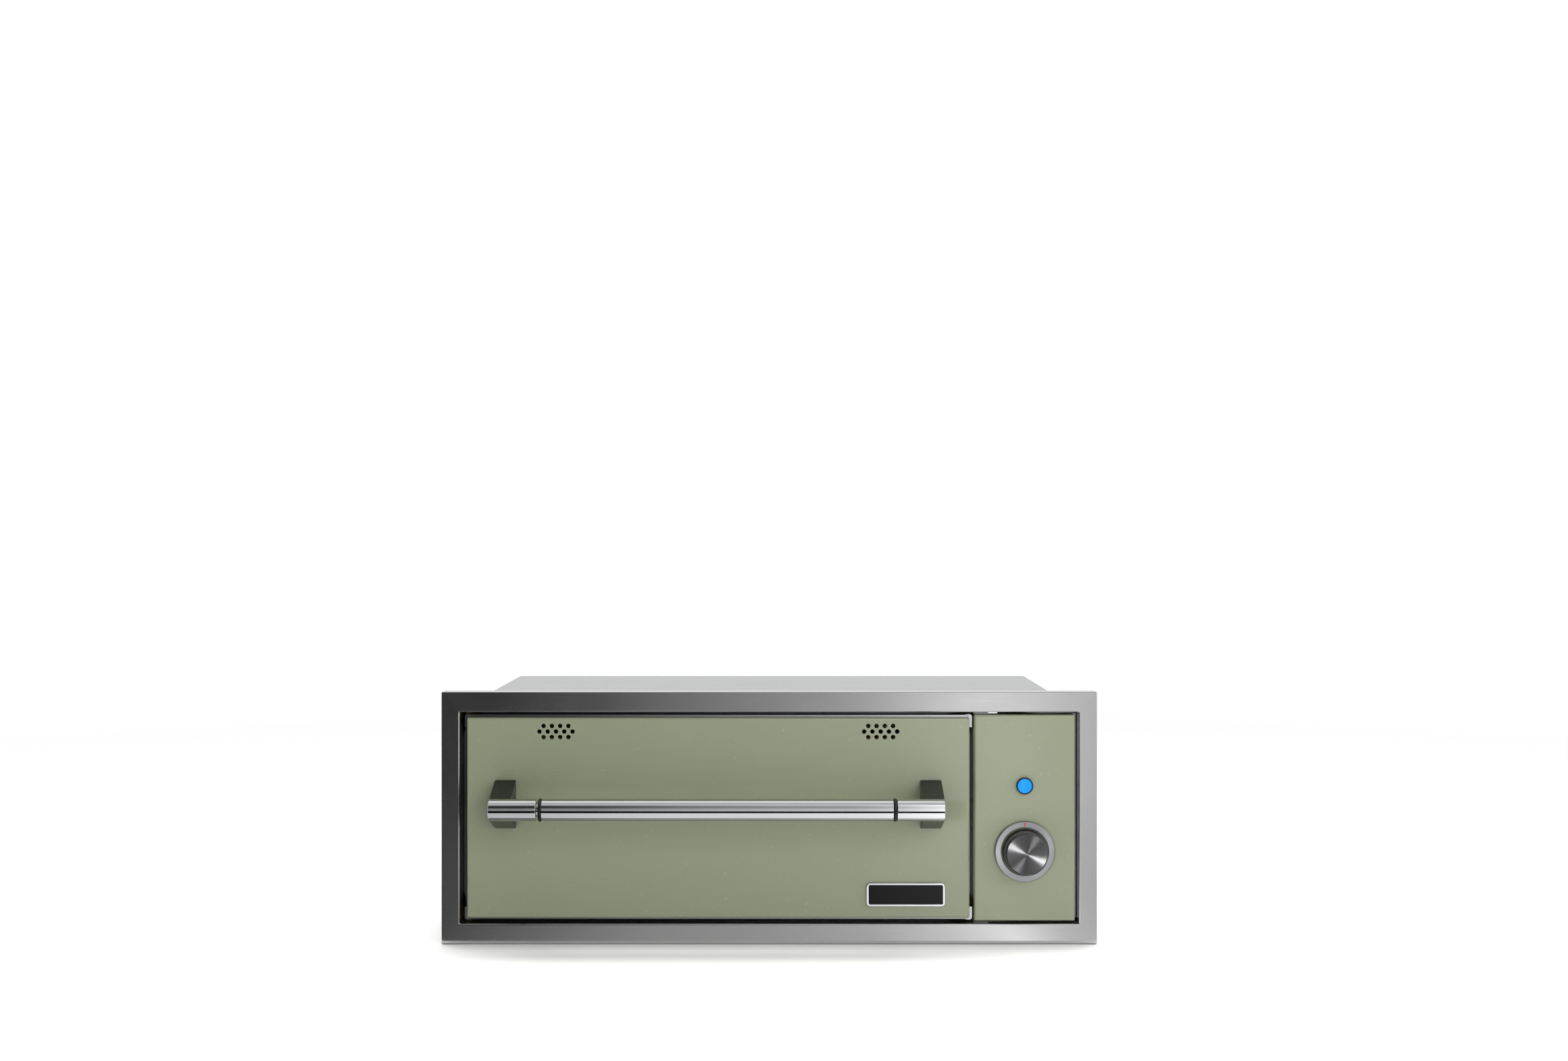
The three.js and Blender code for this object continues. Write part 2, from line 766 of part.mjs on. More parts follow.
// The strain relief that a supply lead would pass through.
function cordGland() {
  const face = housingBack - fit;
  const tail = junctionBack - fit;
  const flange = face - glandFlange;
  const nose = flange - glandNose;
  return turned([
    [glandBore, nose], [glandRadius - glandTaper, nose], [glandRadius, flange], [glandFlangeRadius, flange],
    [glandFlangeRadius, face], [glandRadius, face], [glandRadius, tail], [glandBore, tail], [glandBore, nose],
  ], glandSides).translate(controlX, glandY, 0);
}

// ---- Heater and thermostat sensor ----

const hairpinX = { left: linerX - elementHairpin, right: linerX + elementHairpin };
const runX = { left: linerLeft + elementInset, right: linerRight - elementInset };

function heatingElement() {
  const rear = linerBack + elementRear;
  const front = linerZ - elementFront;
  const turn = front - hairpinDepth;
  const tail = linerBack - wallStack - tailReach;
  const corners = [
    [linerX - elementTails, tail], [linerX - elementTails, rear], [runX.left, rear], [runX.left, front],
    [hairpinX.left, front], [hairpinX.left, turn], [hairpinX.right, turn], [hairpinX.right, front],
    [runX.right, front], [runX.right, rear], [linerX + elementTails, rear], [linerX + elementTails, tail],
  ].map(([x, z]) => new THREE.Vector3(x, elementY, z));
  return bentRod(corners, elementRadius, elementBend, rodSides);
}

// A saddle that holds one run of the element off the cavity floor.
function elementClip(x, z) {
  const half = elementRadius + fit + clipSheet / 2;
  const foot = cavityFloor + fit + clipSheet / 2;
  const at = (px, py) => new THREE.Vector2(px, py);
  const path = [
    at(-half - clipFoot, foot), at(-half, foot), ...arc(0, elementY, half, 180, 0, rodSides),
    at(half, foot), at(half + clipFoot, foot),
  ];
  return alongZ(sheetSection(path, clipSheet), z - clipWidth / 2, z + clipWidth / 2).translate(x, 0, 0);
}

// The sensing bulb beside the drawer and its capillary to the thermostat's back.
function thermostatSensor() {
  const x = linerRight - bodySheet - fit - bulbRadius;
  const bulb = rod(bulbRadius, capillaryZ + 2 * capillaryRadius, capillaryZ + bulbLength, smallSides);
  const bodyBack = controlInside - fit - controlBodyDepth - fit;
  const runX = dividerX + bodySheet + 3 * capillaryRadius;
  const away = bodyBack - capillaryFromBody;
  const corners = [
    [x, capillaryY, capillaryZ + capillaryInBulb], [x, capillaryY, capillaryZ],
    [runX, capillaryY, capillaryZ], [runX, capillaryY, away], [controlX, knobY, away],
    [controlX, knobY, bodyBack],
  ].map(([px, py, pz]) => new THREE.Vector3(px, py, pz));
  const capillary = bentRod(corners, capillaryRadius, capillaryBend, capillarySides);
  return join(bulb.translate(x, capillaryY, 0), capillary);
}

// ---- Telescopic slides ----

// The slide's section, from the wall inwards. Two rows of balls run between each pair of members:
// the outer row in the fixed member's raceways, the inner row in the moving one's.
const raceway = ballRadius + ballPlay + slideSheet / 2;
const outerRow = { x: slideSheet / 2 + raceway, y: slideHeight / 2 - slideSheet / 2 - raceway };
const innerRow = { x: slideWidth - slideSheet / 2 - raceway, y: outerRow.y - rowStep };
const cageX = slideSheet + fit + cageSheet / 2;
const midWebX = cageX + cageSheet / 2 + fit + slideSheet / 2;
const innerCageX = midWebX + slideSheet / 2 + fit + cageSheet / 2;

// The upper half of a member's centre line, mirrored to its full height.
function bothHalves(upper) {
  const lower = upper.map((p) => new THREE.Vector2(p.x, -p.y)).reverse();
  return [...upper, ...lower];
}

const slideSections = {
  outer: bothHalves(arc(outerRow.x, outerRow.y, raceway, -racewayLip, 180, 8)),
  mid: bothHalves([
    ...arc(innerRow.x, innerRow.y, raceway, -racewayLip, 110, 6),
    ...arc(outerRow.x, outerRow.y, raceway, -60, webAngle(), 3),
  ]),
  inner: bothHalves([
    ...arc(innerRow.x, innerRow.y, raceway, 200, 290, 4),
    new THREE.Vector2(slideWidth - slideSheet / 2, innerRow.y - raceway - slideSheet),
  ]),
};

// The angle at which the intermediate member's groove meets its own web.
function webAngle() {
  return -THREE.MathUtils.radToDeg(Math.acos((midWebX - outerRow.x) / raceway));
}

function mirrored(points, side) {
  return points.map((p) => new THREE.Vector2(side * p.x, p.y));
}

// side is 1 at the left wall and -1 at the right one, where the section is mirrored.
function slideMember(kind, side) {
  const section = sheetSection(mirrored(slideSections[kind], side), slideSheet);
  const webX = { outer: 0, mid: midWebX, inner: slideWidth }[kind];
  const screwHoles = Array.from({ length: slideHoles }, (_, i) => {
    const z = slideBack + (slideLength * (i + 0.5)) / slideHoles;
    const hole = new THREE.CylinderGeometry(slideHoleRadius, slideHoleRadius, 3 * slideSheet, holeSides);
    return hole.rotateZ(Math.PI / 2).translate(side * webX, 0, z);
  });
  return cut(alongZ(section, slideBack, slideFront), ...screwHoles);
}

// A cage: a strip, or a channel round the inner member, with its balls held along both edges.
function ballCage(kind, side) {
  const row = kind === "outer" ? outerRow : innerRow;
  const at = (x, y) => new THREE.Vector2(x, y);
  const line = kind === "outer"
    ? [at(cageX, row.y), at(cageX, -row.y)]
    : [at(row.x - ballRadius + fit, row.y), at(innerCageX, row.y), at(innerCageX, -row.y),
      at(row.x - ballRadius + fit, -row.y)];
  const back = slideFront - cageStart - cageLength;
  const strip = alongZ(sheetSection(mirrored(line, side), cageSheet), back, back + cageLength);
  const balls = Array.from({ length: 2 * ballsPerRow }, (_, i) => {
    const z = back + (cageLength * (Math.floor(i / 2) + 0.5)) / ballsPerRow;
    const ball = new THREE.SphereGeometry(ballRadius, ballSides, ballRings);
    return ball.translate(side * row.x, i % 2 ? row.y : -row.y, z);
  });
  return join(strip, ...balls);
}

// ---- Drawer ----

function ventHoles(x) {
  const y = panelTop - ventFromTop;
  const face = -faceSetback;
  return ventRows.flatMap((count, row) => Array.from({ length: count }, (_, i) => {
    const across = (i - (count - 1) / 2) * ventPitch;
    const up = ((ventRows.length - 1) / 2 - row) * ventRowPitch;
    const hole = rod(ventRadius, face - 2 * enamelSheet, face + overcut, holeSides);
    return hole.translate(x + across, y + up, 0);
  }));
}

const ventX = [panelLeft + ventFromSide, panelRight - ventFromSide];
const postX = [handleLeft + postWidth / 2, handleRight - postWidth / 2];
const screwPlaces = postX.flatMap((x) => [-1, 1].map((up) => [x, barY + (up * screwSpacing) / 2]));

function screwPassages(z0, z1) {
  return screwPlaces.map(([x, y]) =>
    rod(screwRadius + screwHoleClearance, z0, z1, smallSides).translate(x, y, 0));
}

function drawerPanel() {
  const pan = formedPan({
    width: panelWidth, height: panelTop - panelBottom, depth: panelDepth,
    sheet: enamelSheet, fold: panelFold, corner: foldRadius,
  }).translate(panelX, midHeight, -faceSetback);
  const face = -faceSetback;
  return cut(pan, ...ventX.flatMap(ventHoles), ...screwPassages(face - 2 * enamelSheet, face + overcut));
}

// One window behind each group of vent holes, from z0 to z1.
function ventWindows(z0, z1) {
  const width = (Math.max(...ventRows) - 1) * ventPitch + 2 * ventRadius + 2 * ventWindowMargin;
  const height = (ventRows.length - 1) * ventRowPitch + 2 * ventRadius;
  return ventX.map((x) => alongZ(slotShape(x, panelTop - ventFromTop, width, height), z0, z1));
}

// The stainless pan behind the enamelled one, with a tab at each corner.
function drawerBacker() {
  const pan = formedPan({
    width: panelWidth, height: frontHeight, depth: backerDepth,
    sheet: bodySheet, fold: foldRadius, corner: foldRadius,
  }).translate(panelX, midHeight, backerZ);
  const reach = panelInset + 2 * foldRadius;
  const tabs = [-1, 1].flatMap((sx) => [-1, 1].map((sy) => {
    const x = panelX + sx * (panelWidth / 2 + panelInset);
    const y = midHeight + sy * (frontHeight / 2 - foldRadius);
    return block(x, x - sx * reach, y, y - sy * cornerTab, backerZ - bodySheet, backerZ - fit);
  }));
  const through = [backerZ - bodySheet - overcut, backerZ + overcut];
  return cut(join(pan, ...tabs), ...ventWindows(...through), ...screwPassages(...through));
}

function frontInsulation() {
  const inset = bodySheet + fit + foldRadius;
  const front = backerZ - bodySheet - fit - screwHeadHeight - fit;
  const slab = block(
    panelLeft + inset, panelRight - inset, frontBottom + inset, frontTop - inset, innerPanelZ + fit, front);
  return cut(slab, ...ventWindows(innerPanelZ - overcut, front + overcut));
}

function innerDoorPanel() {
  const outline = new THREE.Shape(roundedRectangle(panelWidth, frontHeight, foldRadius));
  const plate = alongZ(outline, drawerFrontBack, innerPanelZ).translate(panelX, midHeight, 0);
  return cut(plate, ...ventWindows(drawerFrontBack - overcut, innerPanelZ + overcut));
}

function handleScrew([x, y]) {
  const head = backerZ - bodySheet - fit;
  const tip = -faceSetback + screwReach;
  return turned([
    [0, head - screwHeadHeight], [screwHeadRadius - screwChamfer, head - screwHeadHeight],
    [screwHeadRadius, head - screwHeadHeight / 2], [screwHeadRadius, head], [screwRadius, head],
    [screwRadius, tip - screwChamfer], [screwRadius - screwChamfer, tip], [0, tip],
  ], holeSides).translate(x, y, 0);
}

// A bar turned along x from one place to another, with eased ends.
function crossBar(radius, x0, x1, ease, sides) {
  const profile = [
    [0, x0], [radius - ease, x0], [radius, x0 + ease], [radius, x1 - ease], [radius - ease, x1], [0, x1],
  ].map(([r, h]) => new THREE.Vector2(r, h));
  return new THREE.LatheGeometry(profile, sides).rotateZ(-Math.PI / 2).translate(0, barY, barZ);
}

// One end of the handle: a wedge-shaped post whose flanks run tangent to the barrel it carries.
function handleEnd(side) {
  const outerX = side < 0 ? handleLeft : handleRight;
  const span = (length) => [outerX, outerX - side * length].sort((a, b) => a - b);
  const barrel = crossBar(barRadius, ...span(handleEndLength), postEase, mediumSides);
  const standoff = barStandoff - fit;
  const nose = barRadius - fit;
  const reach = Math.hypot(standoff, postHeight / 2);
  const tangent = THREE.MathUtils.radToDeg(Math.atan2(postHeight / 2, standoff) + Math.acos(nose / reach));
  const outline = new THREE.Shape([
    new THREE.Vector2(standoff, -postHeight / 2), new THREE.Vector2(standoff, postHeight / 2),
    ...arc(0, 0, nose, tangent, 360 - tangent, noseSteps),
  ]);
  const [x0, x1] = span(postWidth);
  const post = alongX(outline, x0 + postEase, x1 - postEase, {
    bevelEnabled: true, bevelSegments: 1,
    bevelThickness: postEase, bevelSize: postEase, bevelOffset: -postEase,
  }).translate(0, barY, barZ);
  const bores = screwPassages(-faceSetback - overcut, -faceSetback + screwReach + fit);
  return cut(join(barrel, post), ...bores);
}

const fittingEnd = { left: handleLeft + handleEndLength, right: handleRight - handleEndLength };
const ringStart = { left: fittingEnd.left + neckGap, right: fittingEnd.right - fit - ringWidth };

// The bar between the rings, with a neck at each end that runs through its ring to the end casting.
function handleBar() {
  const barrel = crossBar(
    barRadius, ringStart.left + ringWidth + fit, ringStart.right - fit, barEase, mediumSides);
  const neck = crossBar(neckRadius, fittingEnd.left + fit, fittingEnd.right - fit / 2, neckEase, smallSides);
  return join(barrel, neck);
}

function handleRing(x) {
  const ring = crossBar(barRadius + ringProud, x, x + ringWidth, ringEase, mediumSides);
  return cut(ring, crossBar(neckRadius + fit, x - overcut, x + ringWidth + overcut, 0, smallSides));
}

// A cast plate with a raised rim round a bare field.
function badgePlate() {
  const back = -faceSetback + fit;
  const front = back + badgeThickness;
  const plate = skin([
    loopAt(badgeWidth - 2 * badgeEase, badgeHeight - 2 * badgeEase, badgeCorner - badgeEase, front),
    loopAt(badgeWidth, badgeHeight, badgeCorner, front - badgeEase),
    loopAt(badgeWidth, badgeHeight, badgeCorner, back),
  ]);
  const bare = roundedRectangle(
    badgeWidth - 2 * badgeRim, badgeHeight - 2 * badgeRim, badgeCorner - badgeRim);
  const field = alongZ(new THREE.Shape(bare), front - badgeRecess, front + overcut);
  return cut(plate, field).translate(panelRight - badgeFromSide, panelBottom + badgeFromBottom, 0);
}

// A channel open to the slide: the slide's inner member fastens inside it and the pan's rim lies on top.
function drawerSide(wall, side) {
  const x = wall + (side * bodySheet) / 2;
  const top = sideTop - bodySheet / 2;
  const bottom = sideTop - sideDrop;
  const path = folded([
    [x - side * sideTopFlange, top], [x, top], [x, bottom], [x - side * sideTopFlange, bottom],
  ], foldRadius);
  return alongZ(sheetSection(path, bodySheet), drawerFrontBack - fit, slideBack);
}

function drawerRearRail() {
  const wall = -panBack + panPlay + bodySheet / 2;
  const top = sideTop - bodySheet / 2;
  const bottom = sideTop - sideDrop;
  const path = folded([
    [wall + sideTopFlange, top], [wall, top], [wall, bottom], [wall + sideTopFlange, bottom],
  ], foldRadius);
  const inside = [sideWallLeft + bodySheet + fit, sideWallRight - bodySheet - fit];
  return alongX(sheetSection(path, bodySheet), ...inside);
}

// The deep-drawn pan, open upwards; its rim rests on the sides and the rear rail.
function drawerPan() {
  return formedPan({
    width: panRight - panLeft,
    height: panFront - panBack,
    depth: panDepth,
    sheet: panSheet,
    fold: panFold,
    corner: panCorner,
    flange: panRim,
  }).rotateX(Math.PI / 2).translate((panLeft + panRight) / 2, panBottom, (panFront + panBack) / 2);
}

// ---- Assembly ----

const drawerUnit = new THREE.Group();

function place(name, geometry, material, x = 0, y = 0, z = 0) {
  const clean = geometryOf(solidOf(geometry));
  clean.computeVertexNormals();
  const mesh = new THREE.Mesh(clean, material);
  mesh.name = name;
  mesh.position.set(x, y, z);
  drawerUnit.add(mesh);
}

// Housing
place("trim_frame", trimFrame(), brushedSteel);
place("housing_wrapper", housingWrapper(), millSteel);
place("base_plate", basePlate(), millSteel);
place("back_panel", backPanel(), millSteel);
place("divider_wall", dividerWall(), millSteel);
place("control_bracket", controlBracket(), millSteel);
place("cavity_liner", cavityLiner(), millSteel);
place("door_gasket", doorGasket(), blackRubber);
for (const [name, slab] of Object.entries(insulationSlabs())) place(name, slab, mineralWool);

// Controls, each drawn about its own axis with z = 0 at the control panel's face
place("control_panel", controlPanel(), sageEnamel);
const atKnob = [controlX, knobY, -faceSetback];
const atLamp = [controlX, lampY, -faceSetback];
place("knob_bezel", knobBezel(), brushedSteel, ...atKnob);
place("knob", knobCap(), brushedSteel, ...atKnob);
place("control_shaft", controlShaft(), zincPlate, ...atKnob);
place("thermostat", thermostatBody(), blackResin, ...atKnob);
place("control_nut", controlNut(), zincPlate, ...atKnob);
place("lamp_bezel", lampBezel(), blackResin, ...atLamp);
place("lamp_lens", lampLens(), blueLens, ...atLamp);
place("lamp_body", lampBody(), blackResin, ...atLamp);
place("junction_box", junctionBox(), zincPlate);
place("cord_gland", cordGland(), blackResin);

// Heater
place("heating_element", heatingElement(), sheathedRod);
const clipZ = linerZ - elementFront - hairpinDepth / 2;
const clipX = [runX.left, hairpinX.left, hairpinX.right, runX.right];
clipX.forEach((x, i) => place(`element_clip_${i + 1}`, elementClip(x, clipZ), zincPlate));
place("thermostat_sensor", thermostatSensor(), copperTube);

// Slides and drawer sides, left then right
for (const [hand, side] of [["left", 1], ["right", -1]]) {
  const wall = slideWall[hand];
  for (const kind of ["outer", "mid", "inner"]) {
    place(`slide_${kind}_${hand}`, slideMember(kind, side), zincPlate, wall, slideY);
  }
  for (const kind of ["outer", "inner"]) {
    place(`${kind}_cage_${hand}`, ballCage(kind, side), zincPlate, wall, slideY);
  }
}
place("drawer_side_left", drawerSide(sideWallLeft, 1), millSteel);
place("drawer_side_right", drawerSide(sideWallRight, -1), millSteel);
place("drawer_rear_rail", drawerRearRail(), millSteel);
place("drawer_pan", drawerPan(), millSteel);

// Drawer front and handle
place("drawer_panel", drawerPanel(), sageEnamel);
place("drawer_backer", drawerBacker(), brushedSteel);
place("front_insulation", frontInsulation(), mineralWool);
place("inner_door_panel", innerDoorPanel(), millSteel);
place("handle_bar", handleBar(), polishedSteel);
place("handle_end_left", handleEnd(-1), polishedSteel);
place("handle_end_right", handleEnd(1), polishedSteel);
place("handle_ring_left", handleRing(ringStart.left), blackRubber);
place("handle_ring_right", handleRing(ringStart.right), blackRubber);
screwPlaces.forEach((at, i) => place(`handle_screw_${i + 1}`, handleScrew(at), zincPlate));
place("badge_plate", badgePlate(), polishedSteel);

// +Z up and the front towards -Y, with the origin below the middle of the whole, at its lowest level.
drawerUnit.rotation.x = Math.PI / 2;
const extent = new THREE.Box3().setFromObject(drawerUnit);
drawerUnit.position.y = -(extent.min.y + extent.max.y) / 2;
const warmingDrawer = new THREE.Group();
warmingDrawer.add(drawerUnit);

export default warmingDrawer;
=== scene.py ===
import json
import math

import bmesh
import bpy
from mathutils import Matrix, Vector

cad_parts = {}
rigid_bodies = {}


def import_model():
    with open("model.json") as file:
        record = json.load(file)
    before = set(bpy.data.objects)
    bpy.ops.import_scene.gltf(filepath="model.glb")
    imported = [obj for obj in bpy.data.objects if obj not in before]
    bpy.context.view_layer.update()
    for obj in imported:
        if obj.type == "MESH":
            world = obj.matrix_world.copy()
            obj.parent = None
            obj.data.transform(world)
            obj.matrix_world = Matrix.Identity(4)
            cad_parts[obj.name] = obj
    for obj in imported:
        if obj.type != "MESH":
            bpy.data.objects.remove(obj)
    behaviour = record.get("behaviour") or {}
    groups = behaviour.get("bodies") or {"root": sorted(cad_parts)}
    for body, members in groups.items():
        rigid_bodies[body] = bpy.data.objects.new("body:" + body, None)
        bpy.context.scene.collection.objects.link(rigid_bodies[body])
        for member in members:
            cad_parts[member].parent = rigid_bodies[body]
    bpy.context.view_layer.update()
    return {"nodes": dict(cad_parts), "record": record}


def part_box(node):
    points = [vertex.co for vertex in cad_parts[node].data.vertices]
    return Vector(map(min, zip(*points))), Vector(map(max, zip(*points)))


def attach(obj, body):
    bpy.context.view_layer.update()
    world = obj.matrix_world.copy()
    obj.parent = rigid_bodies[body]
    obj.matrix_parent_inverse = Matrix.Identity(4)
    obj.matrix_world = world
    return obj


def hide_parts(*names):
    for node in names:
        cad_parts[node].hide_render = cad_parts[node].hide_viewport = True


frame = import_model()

MM = 0.001
TRIM_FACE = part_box("trim_frame")[0].y / MM


def row(x, y, z):
    return Vector((x, TRIM_FACE - z, y)) * MM


def extent(node):
    """A node's box as seen from the front: (left, right), (bottom, top), (back, front)."""
    low, high = (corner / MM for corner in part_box(node))
    return (low.x, high.x), (low.z, high.z), (TRIM_FACE - high.y, TRIM_FACE - low.y)


# ---- Forms: each gives a shell of points and faces ----

CORNER_STEPS, FOLD_STEPS, LIP_STEPS = 8, 6, 5
ROUND, HOLE_SIDES = 96, 28
BEND = 2  # The inside radius of a fold in sheet metal.
ON_AXIS = 0.01  # A point on an axis is a ring this small, so that every loop has the same count.
OPEN_ENDS = (False, False)


def arc(x, y, radius, start, end, steps):
    turns = [math.radians(start + (end - start) * i / steps) for i in range(steps + 1)]
    return [(x + radius * math.cos(t), y + radius * math.sin(t)) for t in turns]


def rounded(width, height, radius, x=0, y=0, steps=CORNER_STEPS):
    """A rectangle with round corners about (x, y), anticlockwise from the right side."""
    r = max(radius, 0)
    corners = ((1, 1), (-1, 1), (-1, -1), (1, -1))
    return [
        point
        for i, (sx, sy) in enumerate(corners)
        for point in arc(x + sx * (width / 2 - r), y + sy * (height / 2 - r), r, 90 * i, 90 * i + 90, steps)
    ]


def circle(x, y, radius, sides):
    return arc(x, y, radius, 0, 360 - 360 / sides, sides - 1)


def level(points, z):
    return [(x, y, z) for x, y in points]


def stepped(width, height, corner, x, y, section, z=0):
    """Loops of a rounded rectangle about (x, y), one for each (growth, height) of a section."""
    return [level(rounded(width + 2 * g, height + 2 * g, corner + g, x, y), z + h) for g, h in section]


def lofted(loops, ring=False, caps=(True, True)):
    """A skin through loops of equal count; a ring joins the last loop to the first."""
    count = len(loops[0])
    points = [p for line in loops for p in line]
    faces = []
    for k in range(len(loops) if ring else len(loops) - 1):
        here, there = k * count, (k + 1) % len(loops) * count
        for i in range(count):
            after = (i + 1) % count
            faces.append((here + i, here + after, there + after, there + i))
    if not ring and caps[0]:
        faces.append(tuple(reversed(range(count))))
    if not ring and caps[1]:
        faces.append(tuple(range(len(points) - count, len(points))))
    return points, faces


def joined(*shells):
    points, faces = [], []
    for more, skins in shells:
        faces += [tuple(i + len(points) for i in face) for face in skins]
        points += more
    return points, faces


def filled(outer, holes, z):
    """A flat face at z inside one outline and round the holes in it."""
    bm = bmesh.new()
    edges = []
    for line in [outer, *holes]:
        apart = [p for i, p in enumerate(line) if math.dist(p, line[i - 1]) > 0.001]
        corners = [bm.verts.new((x, y, z)) for x, y in apart]
        edges += [bm.edges.new((a, b)) for a, b in zip(corners, corners[1:] + corners[:1])]
    bmesh.ops.triangle_fill(bm, edges=edges, use_beauty=True, use_dissolve=False)
    bm.verts.index_update()
    shell = [tuple(v.co) for v in bm.verts], [tuple(v.index for v in f.verts) for f in bm.faces]
    bm.free()
    return shell


def turned(profile, x, y, sides=ROUND):
    """A closed profile of (radius, height) turned round the viewer's axis at (x, y)."""
    return lofted([level(circle(x, y, max(r, ON_AXIS), sides), h) for r, h in profile], ring=True)


def across(profile, y, z):
    """A closed profile of (radius, x) turned round an axis from left to right."""
    points, faces = turned(profile, 0, 0)
    return [(h, y + b, z + a) for a, b, h in points], faces


def pan(width, height, depth, sheet, fold, corner, x, y, z, flange=0, holes=(), lip=0, hole_depth=None):
    """A folded pan: its face at z looks at the viewer, its walls run back, and its holes have rolled lips."""
    turn = sheet + BEND - depth
    edge = (
        arc(BEND, turn, BEND, 180, 270, FOLD_STEPS) + [(flange, sheet - depth), (flange, -depth)]
        + arc(BEND, turn, BEND + sheet, 270, 180, FOLD_STEPS)
        if flange else [(0, -depth), (-sheet, -depth)]
    )
    outside = arc(-fold, -fold, fold, 90, 0, FOLD_STEPS)
    inside = arc(-fold, -fold, fold - sheet, 0, 90, FOLD_STEPS)
    wall = lofted(stepped(width, height, corner, x, y, outside + edge + inside, z), caps=OPEN_ENDS)
    front = rounded(width - 2 * fold, height - 2 * fold, corner - fold, x, y)
    rims, mouths, tubes = [], [], []
    for hx, hy, r in holes:
        rims.append(circle(hx, hy, r + lip, HOLE_SIDES))
        mouths.append(circle(hx, hy, r, HOLE_SIDES))
        roll = arc(r + lip, -lip, lip, 90, 180, LIP_STEPS) if lip else [(r, 0)]
        bore = roll + [(r, -(hole_depth or sheet))]
        tubes.append(lofted([level(circle(hx, hy, a, HOLE_SIDES), z + d) for a, d in bore], caps=OPEN_ENDS))
    return joined(wall, filled(front, rims, z), filled(front, mouths, z - sheet), *tubes)


def ball(x, y, z, radius, rings=10, sides=14):
    turns = [math.pi * i / rings for i in range(rings + 1)]
    section = [(max(radius * math.sin(t), ON_AXIS), z - radius * math.cos(t)) for t in turns]
    return lofted([level(circle(x, y, r, sides), h) for r, h in section])


# ---- Making a piece ----

CREASE = 32  # Degrees: a sharper fold than this stays an edge.
FLAT = 0.5  # Degrees: facets that turn less than this are one flat face.
EASE_SEGMENTS = 3
WELD, NODE_WELD = 0.004, 0.002  # Points of a new form, or of a node, that are nearer than this are one.
ACROSS_GRAIN = 0.2  # A face whose plane holds less than this of the grain's direction lies across it.


def grain_along(direction):
    return lambda centre, normal: Vector(direction)


RIGHT, UP, OUT = grain_along((1, 0, 0)), grain_along((0, 0, 1)), grain_along((0, 1, 0))


def lay_grain(mesh, grain):
    """UVs in metres: U runs along the brushing of each face and V across it."""
    layer = mesh.uv_layers.new(name="grain")
    for face in mesh.polygons:
        along = grain(face.center, face.normal)
        along = along - face.normal * along.dot(face.normal)
        if along.length < ACROSS_GRAIN:
            along = Vector((0, 1, 0)) - face.normal * face.normal.y
        along.normalize()
        side = face.normal.cross(along)
        for corner in face.loop_indices:
            place = mesh.vertices[mesh.loops[corner].vertex_index].co
            layer.data[corner].uv = (place.dot(along), place.dot(side))


def settle(obj):
    """The object's modifiers made part of its mesh."""
    bpy.context.view_layer.update()
    whole = obj.evaluated_get(bpy.context.evaluated_depsgraph_get())
    mesh = bpy.data.meshes.new_from_object(whole)
    obj.modifiers.clear()
    old, obj.data = obj.data, mesh
    bpy.data.meshes.remove(old)


def finished(obj, finish, body, instead_of, ease, grain, crease=CREASE):
    mesh = obj.data
    mesh.shade_smooth()
    mesh.set_sharp_from_angle(angle=math.radians(crease))
    if ease:
        bevel = obj.modifiers.new("eased edges", "BEVEL")
        bevel.width = ease * MM
        bevel.segments = EASE_SEGMENTS
        bevel.limit_method = "ANGLE"
        bevel.angle_limit = math.radians(crease)
        bevel.use_clamp_overlap = True
    even = obj.modifiers.new("even light", "WEIGHTED_NORMAL")
    even.keep_sharp = not ease
    settle(obj)
    obj.data.materials.clear()
    obj.data.materials.append(finish)
    lay_grain(obj.data, grain)
    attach(obj, body)
    if instead_of:
        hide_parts(*instead_of)
    return obj


def make(name, shell, finish, body, instead_of=(), ease=0, grain=RIGHT, crease=CREASE):
    points, faces = shell
    bm = bmesh.new()
    corners = [bm.verts.new(row(*p)) for p in points]
    for face in faces:
        if len(set(face)) > 2:
            bm.faces.new([corners[i] for i in face])
    bmesh.ops.remove_doubles(bm, verts=bm.verts, dist=WELD * MM)
    bmesh.ops.recalc_face_normals(bm, faces=bm.faces)
    mesh = bpy.data.meshes.new(name)
    bm.to_mesh(mesh)
    bm.free()
    obj = bpy.data.objects.new(name, mesh)
    bpy.context.scene.collection.objects.link(obj)
    return finished(obj, finish, body, instead_of, ease, grain, crease)


def body_of(node):
    return next(body for body, members in frame["record"]["behaviour"]["bodies"].items() if node in members)


def eased(node, finish, ease, grain):
    """A copy of a node with its facets joined and its edges eased, which stands for it."""
    mesh = frame["nodes"][node].data.copy()
    bm = bmesh.new()
    bm.from_mesh(mesh)
    bmesh.ops.remove_doubles(bm, verts=bm.verts, dist=NODE_WELD * MM)
    bmesh.ops.dissolve_limit(
        bm, angle_limit=math.radians(FLAT), verts=bm.verts, edges=bm.edges, use_dissolve_boundaries=False)
    bm.to_mesh(mesh)
    bm.free()
    mesh.materials.clear()
    obj = bpy.data.objects.new(node + "_made", mesh)
    bpy.context.scene.collection.objects.link(obj)
    return finished(obj, finish, body_of(node), [node], ease, grain)


# ---- Finishes ----


def linear(code):
    """An sRGB hex colour as linear red, green, blue and alpha."""
    parts = [int(code[i:i + 2], 16) / 255 for i in (1, 3, 5)]
    return (*[c / 12.92 if c <= 0.04045 else ((c + 0.055) / 1.055) ** 2.4 for c in parts], 1)


